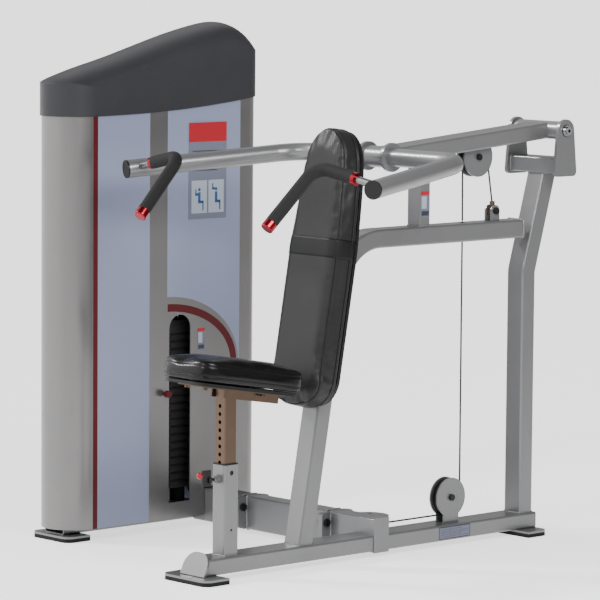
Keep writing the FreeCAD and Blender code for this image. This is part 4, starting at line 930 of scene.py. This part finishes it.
@dataclass
class Backrest:
    """The backrest cushion and the band round it."""

    lean: float = 10.0
    origin: Vector = field(default_factory=lambda: Vector((0, 0.49075, 0.512)))
    board: float = 0.012
    thick: float = 0.080
    band_low: float = 0.922 * 0.537
    band_width: float = 0.062
    tube_half: float = 0.0405

    def build(self) -> bpy.types.Object:
        """Make the cushion and its band."""
        angle = math.radians(self.lean)
        along = Vector((0, math.sin(angle), math.cos(angle)))
        outward = Vector((0, -math.cos(angle), math.sin(angle)))
        # The backrest gets the lighter copy of the black vinyl as painted light.
        pad = Pad("back_cushion", "back_pad", "frame", "vinyl", Tone.BACK_VINYL, self.origin, along,
                  outward, (self.board, self.board + self.thick), (0.030, 0.079), voxel=0.006,
                  cap=0.012)
        cushion = pad.build()
        self._band(cushion, pad.place())
        return cushion

    def _band(self, cushion: bpy.types.Object, home: Matrix) -> bpy.types.Object:
        """Stretch a band round the finished cushion.

        Args:
            cushion: the pad, in the row frame.
            home: matrix from the pad's frame to the row frame.

        Returns:
            The band.
        """
        back = home.inverted()
        tree = BVHTree.FromPolygons([back @ v.co for v in cushion.data.vertices],
                                    [p.vertices for p in cushion.data.polygons])
        rows = 9
        mesh = bmesh.new()
        grid = []
        for row in range(rows):
            level = self.band_low + self.band_width * row / (rows - 1)
            hug = 0.0008 + 0.0009 * math.sin(math.pi * row / (rows - 1))
            ring = []
            for step in range(-66, 67):
                angle = math.radians(step * 2)
                out = Vector((math.sin(angle), 0, math.cos(angle)))
                centre = Vector((0, level, 0.050))
                hit = tree.ray_cast(centre + out * 0.4, -out)[0]
                if hit:
                    ring.append(hit + out * hug)
            side = max(p.x for p in ring)
            ring = [p for p in ring if p.z > self.board + 0.001]
            tail = [Vector((side * 0.985, level, 0.004)), Vector((side * 0.93, level, -0.0012)),
                    Vector((self.tube_half, level, -0.0012))]
            head = [Vector((-p.x, p.y, p.z)) for p in reversed(tail)]
            grid.append(self._even(head + ring + tail, 150))
        verts = [[mesh.verts.new(p) for p in ring] for ring in grid]
        for lower, upper in zip(verts, verts[1:]):
            for index in range(len(lower) - 1):
                mesh.faces.new((lower[index], lower[index + 1], upper[index + 1], upper[index]))
        bmesh.ops.recalc_face_normals(mesh, faces=mesh.faces)
        mesh.transform(home)
        band = new_piece("back_cushion_band", mesh)
        wall = band.modifiers.new("wall", "SOLIDIFY")
        wall.thickness = 0.0014
        wall.offset = 0.0
        applied(band)
        Tone.BAND.paint(band)
        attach(band, "frame")
        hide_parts("back_band")
        return band

    @staticmethod
    def _even(line: list[Vector], count: int) -> list[Vector]:
        """Return evenly spaced points along a line.

        Args:
            line: corner points.
            count: how many points to return.

        Returns:
            The points.
        """
        lengths = [0.0]
        for a, b in zip(line, line[1:]):
            lengths.append(lengths[-1] + (b - a).length)
        places = np.linspace(0, lengths[-1], count)
        axes = [np.interp(places, lengths, [p[k] for p in line]) for k in range(3)]
        return [Vector(p) for p in zip(*axes)]


# ------------------------------------------------------------------------- welds
@dataclass(frozen=True)
class Joint:
    """A rectangular weld: its plane's centre, normal, two sizes and a body."""

    body: str
    centre: tuple[float, float, float]
    normal: str
    width: float
    height: float
    corner: float = 0.007


@dataclass
class Welds:
    """Weld beads laid as overlapping drops round every joint of the tubes."""

    step: float = 0.0034
    radius: float = 0.0034
    joints: tuple[Joint, ...] = (
        Joint("frame", (0, 0.126, 0.0745), "Z", 0.060, 0.060),
        Joint("frame", (0, 0.445, 0.0745), "Z", 0.076, 0.063),
        Joint("frame", (0, 1.473, 0.0745), "Z", 0.076, 0.062),
        Joint("frame", (0, 0.977, 1.0885), "Z", 0.060, 0.050),
        Joint("frame", (0, 1.4415, 1.057), "Y", 0.076, 0.062),
        Joint("frame", (0.1075, 1.566, 1.272), "X", 0.084, 0.054),
        Joint("frame", (-0.1075, 1.566, 1.272), "X", 0.084, 0.054),
        Joint("frame", (0, 1.567, 1.2445), "Z", 0.076, 0.064),
        Joint("frame", (-0.157, 0.769, 0.073), "X", 0.068, 0.116),
        Joint("frame", (-0.179, 0.769, 0.073), "X", 0.068, 0.116),
        Joint("frame", (-0.579, 0.769, 0.073), "X", 0.068, 0.116),
        Joint("frame", (-0.601, 0.769, 0.073), "X", 0.068, 0.116),
    )

    def build(self) -> bpy.types.Object:
        """Make all the beads."""
        rng = random.Random(7)
        mesh = bmesh.new()
        for joint in self.joints:
            for point in self._loop(joint):
                size = self.radius * rng.uniform(0.9, 1.08)
                place = Matrix.Translation(point) @ Matrix.Diagonal((size, size, size, 1))
                bmesh.ops.create_icosphere(mesh, subdivisions=2, radius=1.0, matrix=place)
        beads = new_piece("frame_weld_beads", mesh)
        Tone.WELD.paint(beads)
        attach(beads, "frame")
        return beads

    def _loop(self, joint: Joint) -> Iterable[Vector]:
        """Return points round a joint.

        Args:
            joint: the joint.

        Yields:
            Evenly spaced points.
        """
        a, b, r = joint.width / 2, joint.height / 2, joint.corner
        line = []
        for cx, cy, start in ((a - r, b - r, 0), (r - a, b - r, 90), (r - a, r - b, 180),
                              (a - r, r - b, 270)):
            for k in range(7):
                angle = math.radians(start + 15 * k)
                line.append((cx + r * math.cos(angle), cy + r * math.sin(angle)))
        line.append(line[0])
        lengths = np.concatenate([[0], np.cumsum(np.hypot(*np.diff(np.array(line), axis=0).T))])
        count = int(lengths[-1] / self.step)
        for place in np.linspace(0, lengths[-1], count, endpoint=False):
            u = float(np.interp(place, lengths, [p[0] for p in line]))
            v = float(np.interp(place, lengths, [p[1] for p in line]))
            offset = {"Z": (u, v, 0), "Y": (u, 0, v), "X": (0, u, v)}[joint.normal]
            yield Vector(joint.centre) + Vector(offset)


# ------------------------------------------------------------------------ cables
@dataclass
class Cables:
    """The moving parts of the wire rope."""

    radius: float = 0.003
    loop_centre: tuple[float, float] = (1.239, 1.308)
    loop_top: float = 1.235
    foot: float = 0.012

    def build(self) -> list[bpy.types.Object]:
        """Make the loop over the arm's pulley and the drop to the weights."""
        return [self._loop(), self._drop()]

    def _loop(self) -> bpy.types.Object:
        """Make the loop over the arm's pulley, cut into rings below the pulley."""
        low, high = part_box("cable_loop")
        mesh = merged_copy("cable_loop")
        for level in np.arange(low.z + 0.004, self.loop_centre[1] - 0.03, 0.008):
            bmesh.ops.bisect_plane(mesh, geom=mesh.verts[:] + mesh.edges[:] + mesh.faces[:],
                                   plane_co=(0, 0, level), plane_no=(0, 0, 1))
        loop = new_piece("cable_over_arm_pulley", mesh)
        Tone.ROPE.paint(loop)
        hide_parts("cable_loop")
        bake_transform(loop)
        return loop

    def _drop(self) -> bpy.types.Object:
        """Make the run from the top pulley to the weights."""
        low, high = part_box("cable_stack")
        mesh = merged_copy("cable_stack")
        for level in np.arange(low.z + 0.01, high.z, 0.02):
            bmesh.ops.bisect_plane(mesh, geom=mesh.verts[:] + mesh.edges[:] + mesh.faces[:],
                                   plane_co=(0, 0, level), plane_no=(0, 0, 1))
        drop = new_piece("cable_to_weights", mesh)
        Tone.ROPE.paint(drop)
        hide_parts("cable_stack")
        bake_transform(drop)
        return drop


# -------------------------------------------------------------------- weights
@dataclass
class Weights:
    """The plates of the stack with rounded edges, a parting gap and pin holes."""

    gap: float = 0.001
    edge: float = 0.0022

    def build(self) -> list[bpy.types.Object]:
        """Make the lower and the upper plates."""
        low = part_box("lower_plates")
        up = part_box("upper_plates")
        return [self._plates("weight_plates_low", "lower_plates", "frame", low, 15),
                self._plates("weight_plates_high", "upper_plates", "weight_carriage", up, 5)]

    def _plates(self, name: str, node: str, body: str, room: tuple[Vector, Vector],
                count: int) -> bpy.types.Object:
        """Make one group of plates.

        Args:
            name: piece name.
            node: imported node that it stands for.
            body: body that it rides on.
            room: the node's box.
            count: number of plates.

        Returns:
            The plates.
        """
        low, high = room
        pitch = (high.z - low.z + self.gap) / count
        mesh = bmesh.new()
        for index in range(count):
            z0 = low.z + pitch * index
            z1 = z0 + pitch - self.gap
            block(mesh, Vector((low.x, low.y, z0)), Vector((high.x - 0.004, high.y, z1)))
            block(mesh, Vector((high.x - 0.006, low.y + 0.03, z0 + 0.004)),
                  Vector((high.x - 0.0005, high.y - 0.03, z1 - 0.004)))
        soften(mesh, self.edge)
        plates = new_piece(name, mesh, smooth=False)
        holes = bmesh.new()
        for index in range(count):
            z = low.z + pitch * (index + 0.5) - self.gap / 2
            place = Matrix.Translation((high.x - 0.0008, (low.y + high.y) / 2, z))
            bmesh.ops.create_cone(holes, cap_ends=True, segments=20, radius1=0.0062, radius2=0.0062,
                                  depth=0.003, matrix=place @ Matrix.Rotation(math.pi / 2, 4, "Y"))
        hole = new_piece(name + "_pin_holes", holes, smooth=False)
        Tone.RUBBER.paint(hole)
        Tone.PLATE.paint(plates)
        for piece in (plates, hole):
            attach(piece, body)
        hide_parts(node)
        return plates


# --------------------------------------------------------------------- placards
@dataclass
class Placard:
    """A printed sheet: a red head, a grey field and two pictures of a seated figure."""

    lift: float = 0.0004

    def build(self) -> bpy.types.Object:
        """Make the placard on the tower's near face."""
        low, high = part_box("placard")
        self.face = high.x
        width = high.y - low.y
        height = high.z - low.z
        sheet = self._sheet("placard_sheet", low, high, Tone.LABEL)
        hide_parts("placard")
        top = high.z
        self._patch("placard_head", (low.y, top - height * 0.20, high.y, top), Tone.LABEL_RED)
        mid = low.y + width * 0.5
        boxes = []
        for index, start in enumerate((low.y + width * 0.07, mid + width * 0.02)):
            patch = (start, low.z + height * 0.06, start + width * 0.41, low.z + height * 0.40)
            self._patch(f"placard_field_{index}", patch, Tone.LABEL_WHITE)
            boxes.append(patch)
        self._figures(boxes)
        lines = [(low.y + width * 0.09, top - height * (0.30 + 0.05 * k)) for k in range(5)]
        mesh = bmesh.new()
        for index, (y, z) in enumerate(lines):
            run = width * (0.8 if index % 2 else 0.66)
            block(mesh, Vector((self.face + 0.0001, y, z)),
                  Vector((self.face + self.lift, y + run, z + 0.003)))
        self._done(new_piece("placard_rules", mesh, False), Tone.LABEL_DARK)
        return sheet

    def _sheet(self, name: str, low: Vector, high: Vector, tone: Tone) -> bpy.types.Object:
        """Make the sheet itself.

        Args:
            name: piece name.
            low: lowest corner.
            high: highest corner.
            tone: finish.

        Returns:
            The sheet.
        """
        mesh = bmesh.new()
        block(mesh, low, high)
        soften(mesh, 0.0004, 1)
        return self._done(new_piece(name, mesh, False), tone)

    def _patch(self, name: str, room: Sequence[float], tone: Tone,
               layer: int = 0) -> bpy.types.Object:
        """Make a printed patch.

        Args:
            name: piece name.
            room: y0, z0, y1, z1.
            tone: finish.
            layer: how many patches lie below it.

        Returns:
            The patch.
        """
        mesh = bmesh.new()
        y0, z0, y1, z1 = room
        base = self.face + 0.0002 * layer
        block(mesh, Vector((base + 0.00005, y0, z0)), Vector((base + self.lift * 0.6, y1, z1)))
        return self._done(new_piece(name, mesh, False), tone)

    def _figures(self, boxes: Sequence[Sequence[float]]) -> None:
        """Draw a plain seated figure in each field.

        Args:
            boxes: the fields.
        """
        mesh = bmesh.new()
        for index, (y0, z0, y1, z1) in enumerate(boxes):
            w, h = y1 - y0, z1 - z0
            lift = 0.16 if index else 0.0
            head = Matrix.Translation((self.face + self.lift * 0.8, y0 + w * 0.5, z0 + h * 0.72))
            turn = Matrix.Rotation(math.pi / 2, 4, "Y")
            bmesh.ops.create_cone(mesh, cap_ends=True, segments=18, radius1=w * 0.08,
                                  radius2=w * 0.08, depth=0.0003, matrix=head @ turn)
            parts = [(0.42, 0.36, 0.58, 0.64), (0.42, 0.30, 0.78, 0.38), (0.70, 0.08, 0.78, 0.36),
                     (0.24, 0.54 + lift, 0.42, 0.61 + lift), (0.24, 0.54 + lift, 0.31, 0.74 + lift)]
            for a, b, c, d in parts:
                block(mesh, Vector((self.face + 0.0003, y0 + w * a, z0 + h * b)),
                      Vector((self.face + self.lift, y0 + w * c, z0 + h * d)))
        self._done(new_piece("placard_figures", mesh, False), Tone.LABEL_BLUE)

    @staticmethod
    def _done(piece: bpy.types.Object, tone: Tone) -> bpy.types.Object:
        """Paint a piece and fix it to the frame.

        Args:
            piece: the piece.
            tone: finish.

        Returns:
            The piece.
        """
        tone.paint(piece)
        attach(piece, "frame")
        return piece


@dataclass
class Stickers(Placard):
    """Small plain stickers: a rating plate on the rail and two with a red head."""

    rim: float = 0.003
    plate: tuple[float, ...] = (0.051, 1.040, 0.0260, 1.188, 0.0690)
    heads: tuple[tuple[float, ...], ...] = ((0.030, 0.9560, 1.1180, 0.9985, 1.2040),
                                          (-0.7998, 0.6975, 0.6170, 0.7310, 0.6930))

    def build(self) -> list[bpy.types.Object]:
        """Make the stickers."""
        self.face, y0, z0, y1, z1 = self.plate
        rim = self.rim
        made = [self._patch("rating_edge", (y0, z0, y1, z1), Tone.LABEL_DARK),
                self._patch("rating_field", (y0 + rim, z0 + rim, y1 - rim, z1 - rim), Tone.LABEL,
                            1)]
        mesh = bmesh.new()
        for row in range(6):
            z = z0 + 0.008 + row * 0.0062
            block(mesh, Vector((self.face + 0.0004, y0 + 0.008, z)),
                  Vector((self.face + 0.00055, y1 - 0.008 - 0.03 * (row % 3 == 1), z + 0.0011)))
        for y in (y0 + 0.052, y0 + 0.100):
            block(mesh, Vector((self.face + 0.0004, y, z0 + 0.006)),
                  Vector((self.face + 0.0005, y + 0.001, z1 - 0.006)))
        made.append(self._done(new_piece("rating_rules", mesh, False), Tone.LABEL_DARK))
        for index, (face, y0, z0, y1, z1) in enumerate(self.heads):
            self.face = face
            wide, high = y1 - y0, z1 - z0
            name = f"sticker_{index}"
            made += [self._patch(name, (y0, z0, y1, z1), Tone.LABEL),
                     self._patch(name + "_head", (y0, z1 - high * 0.14, y1, z1), Tone.LABEL_RED, 1),
                     self._patch(name + "_field", (y0 + wide * 0.12, z0 + high * 0.33,
                                                   y0 + wide * 0.66,
                                                   z1 - high * 0.19), Tone.LABEL_WHITE, 1),
                     self._patch(name + "_foot", (y0 + wide * 0.12, z0 + high * 0.06,
                                                  y1 - wide * 0.1,
                                                  z0 + high * 0.24), Tone.LABEL_DARK, 1)]
        return made


# ------------------------------------------------------------------------- knobs
@dataclass
class Knobs:
    """The selector pin's turned knob, and washers for the pivot's bolt heads with painted shade in
    their sockets.
    """

    def build(self) -> list[bpy.types.Object]:
        """Make the selector pin's knob and the pivot's washers with their socket shade."""
        low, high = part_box("selector_knob")
        mid = (low + high) / 2
        length = high.x - low.x
        radius = (high.z - low.z) / 2
        profile = [(0, 0), (0.55, 0), (0.62, 0.06), (0.62, 0.16), (0.9, 0.3), (1.0, 0.45),
                   (1.0, 0.72),
                   (0.93, 0.88), (0.75, 0.97), (0.4, 1.0), (0, 1.0)]
        knob = turned("selector_pin_knob", [(r * radius, t * length) for r, t in profile],
                      Vector((low.x, mid.y, mid.z)), Vector((1, 0, 0)))
        Tone.RED_KNOB.paint(knob)
        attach(knob, "selector_pin")
        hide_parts("selector_knob")
        return [knob] + self._washers_and_socket_shade()

    @staticmethod
    def _washers_and_socket_shade() -> list[bpy.types.Object]:
        """Edge the pivot's bolt heads with a washer and fill the bottom of each hex socket with a dark
        hex as painted shade.
        """
        low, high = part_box("pivot_bolt_heads")
        head_low, head_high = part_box("pivot_head")
        mid = (low + high) / 2
        radius = (high.z - low.z) / 2
        made = []
        for side, face, tip in ((1, head_high.x, high.x), (-1, head_low.x, low.x)):
            mesh = bmesh.new()
            # The first entry is the washer; the second is painted shade, a dark hex that fills the
            # bottom of each bolt head's socket.
            for r, start, end, steps in ((radius * 1.09, face - side * 0.001, face + side * 0.0012,
                                          48),
                                         (radius * 0.42, tip - side * 0.010, tip - side * 0.0045,
                                          6)):
                place = Matrix.Translation(((start + end) / 2, mid.y, mid.z))
                place = place @ Matrix.Rotation(math.pi / 2, 4, "Y")
                bmesh.ops.create_cone(mesh, cap_ends=True, segments=steps, radius1=r, radius2=r,
                                      depth=abs(end - start), matrix=place)
            piece = new_piece(f"pivot_washer_{side}", mesh, False)
            # Black oxide steel for the washer, and the same dark finish as painted shade in the
            # socket.
            Tone.BLACK_STEEL.paint(piece)
            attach(piece, "frame")
            made.append(piece)
        return made


# --------------------------------------------------------------- packed surfaces
@dataclass
class PackedNodes:
    """Finishes of the nodes that are shown as they are."""

    tones: dict[Tone, tuple[str, ...]] = field(default_factory=lambda: {
        Tone.RUBBER: ("rubber_feet", "rubber_bumpers"),
        Tone.FRAME: ("foot_plates", "base_rail", "beam_stub", "cross_beam", "tower_beam",
                     "seat_post",
                     "pull_pin_barrel", "back_tube", "rear_upright", "stop_post", "pivot_head",
                     "press_beam", "yoke_collars", "yoke_tube", "pulley_brackets", "tower_frame"),
        Tone.PLASTIC: ("rail_rear_cap", "seat_post_bush", "seat_board", "back_board",
                       "yoke_end_caps"),
        Tone.BLACK_STEEL: ("frame_bolts", "pull_pin", "arm_pulley_bolt"),
        Tone.NYLON: ("arm_pulley", "low_pulley", "beam_pulley", "up_pulley", "top_pulley"),
        Tone.RED_KNOB: ("pull_pin_ball", "selector_knob"),
        Tone.ZINC: ("seat_inner_post", "seat_carriage", "anchor_fork"),
        Tone.CHROME: ("pivot_bolt_heads", "guide_rods"),
        Tone.STEEL: ("pivot_axle", "handle_bars", "selector_rod", "selector_pin"),
        Tone.RED: ("handle_rings",),
        Tone.FOAM: ("foam_grips",),
        Tone.ROPE: ("cable_main", "cable_loop", "cable_stack"),
        Tone.PLATE: ("lower_plates", "upper_plates", "stack_head"),
        Tone.TOWER: ("tower_silver",),
        Tone.STRIPE: ("red_trim",),
        Tone.PANEL: ("tower_panels",),
        Tone.LABEL: ("placard",),
        Tone.COVER: ("top_cover",),
        Tone.VINYL: ("seat_pad", "back_pad", "back_band"),
    })

    def build(self) -> list[bpy.types.Object]:
        """Paint every node."""
        done = []
        for tone, names in self.tones.items():
            done += [tone.paint(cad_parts[name]) for name in names]
        missing = set(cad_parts) - {node.name for node in done}
        LOG.info("nodes without a finish: %s", sorted(missing))
        return done


# ------------------------------------------------------------------------ studio
@dataclass
class Studio:
    """Camera, soft light and pale floor."""

    eye: Vector = field(default_factory=lambda: Vector((8.56823652, -7.4216703, 2.07)))
    azimuth: float = 47.45
    pitch: float = 5.878
    roll: float = 0.459
    lens: float = 36.0 * 3608.0 / 600.0
    floor_half: float = 200.0
    floor_near: tuple[float, float, float] = (0.62, 0.62, 0.62)
    floor_far: tuple[float, float, float] = (0.45, 0.45, 0.45)
    floor_glow: float = 1.25
    glow_far: tuple[float, float, float] = (0.22, 0.22, 0.22)
    box_power: float = 150.0
    box_size: float = 1.6
    box_place: tuple[float, float, float] = (2.7, -0.2, 3.0)
    box_aim: tuple[float, float, float] = (2.7, -1.2, 1.9)
    suns: tuple[tuple, ...] = (("key", 1.3, 14, (62, 0, 10)), ("left", 2.6, 7, (54, 0, -57)),
                               ("side", 0.35, 20, (60, 0, 84)), ("back", 0.2, 30, (50, 0, 230)))

    def build(self) -> bpy.types.Object:
        """Set the camera, the lights, the world and the floor."""
        self._camera()
        self._world()
        for name, power, angle, turn in self.suns:
            light = bpy.data.lights.new(name, "SUN")
            light.energy = power
            light.angle = math.radians(angle)
            lamp = bpy.data.objects.new(name, light)
            lamp.rotation_euler = [math.radians(a) for a in turn]
            bpy.context.scene.collection.objects.link(lamp)
        high = bpy.data.lights.new("high box", "AREA")
        high.energy = self.box_power
        high.size = self.box_size
        lamp = bpy.data.objects.new("high box", high)
        lamp.location = self.box_place
        lamp.rotation_euler = Vector(self.box_aim).to_track_quat("Z", "Y").to_euler()
        bpy.context.scene.collection.objects.link(lamp)
        mesh = bmesh.new()
        bmesh.ops.create_grid(mesh, x_segments=2, y_segments=2, size=self.floor_half)
        floor = new_piece("studio_floor", mesh, False)
        shader = Shader("pale floor")
        split = shader.node("ShaderNodeSeparateXYZ", {}, {0: shader.place()})
        x, y = (Wire(shader, socket) for socket in split.outputs[:2])
        flag = shader.ramp(x * 0.75 + y * 0.669, 2.0, 6.5)
        shader.finish(Base_Color=shader.blend(flag, self.floor_near, self.floor_far), Roughness=0.8,
                      Emission_Color=shader.blend(flag, (1.0, 1.0, 1.0), self.glow_far),
                      Emission_Strength=self.floor_glow)
        floor.data.materials.append(shader.material)
        return floor

    def _camera(self) -> None:
        """Set the camera at the viewing angle."""
        a, p, r = (math.radians(v) for v in (self.azimuth, self.pitch, self.roll))
        ahead = Vector((-math.sin(a) * math.cos(p), math.cos(a) * math.cos(p), -math.sin(p)))
        right = Vector((math.cos(a), math.sin(a), 0))
        up = right.cross(ahead)
        right, up = right * math.cos(r) + up * math.sin(r), up * math.cos(r) - right * math.sin(r)
        data = bpy.data.cameras.new("camera")
        data.lens = self.lens
        data.sensor_width = 36.0
        data.clip_end = 500.0
        camera = bpy.data.objects.new("camera", data)
        turn = Matrix((right, up, -ahead)).transposed().to_4x4()
        camera.matrix_world = Matrix.Translation(self.eye) @ turn
        bpy.context.scene.collection.objects.link(camera)
        bpy.context.scene.camera = camera

    @staticmethod
    def _world() -> None:
        """Light the room with a bright window on the -X -Y side above the horizon, a slightly dimmer
        ceiling and a darker +X +Y side.
        """
        world = bpy.data.worlds.new("room")
        bpy.context.scene.world = world
        world.use_nodes = True
        tree = world.node_tree
        tree.nodes.clear()
        room = Shader.over(tree)
        direction = room.out("ShaderNodeTexCoord", {}, {}, "Generated")
        split = room.node("ShaderNodeSeparateXYZ", {}, {0: direction})
        x, y, z = (Wire(room, socket) for socket in split.outputs)
        ceiling = room.ramp(z, 0.1, 0.75)
        window = room.ramp(x * -0.75 - y * 0.62, 0.35, 0.8) * room.ramp(z, -0.1, 0.1)
        shade = room.ramp(x * 0.55 + y * 0.82, 0.62, 0.93) * (1 - room.ramp(z, 0.16, 0.42))
        level = 0.4 - ceiling * 0.12 + window * 2.4 - shade * 0.3
        glow = room.node("ShaderNodeBackground", {}, {"Color": level, "Strength": 1.0})
        end = tree.nodes.new("ShaderNodeOutputWorld")
        tree.links.new(glow.outputs[0], end.inputs[0])


def main() -> None:
    """Build the sub-assemblies in order."""
    logging.basicConfig(level=logging.INFO, format="%(message)s")
    steps: list[tuple[str, Callable[[], object]]] = [
        ("studio", Studio().build), ("packed nodes", PackedNodes().build), ("cables",
                                                                            Cables().build),
        ("welds", Welds().build), ("weights", Weights().build), ("placard", Placard().build),
        ("stickers", Stickers().build),
        ("knobs", Knobs().build), ("seat", Seat().build), ("backrest", Backrest().build)]
    for title, step in steps:
        made = step()
        LOG.info("built %s: %s", title, made)


if __name__ == "__main__":
    main()
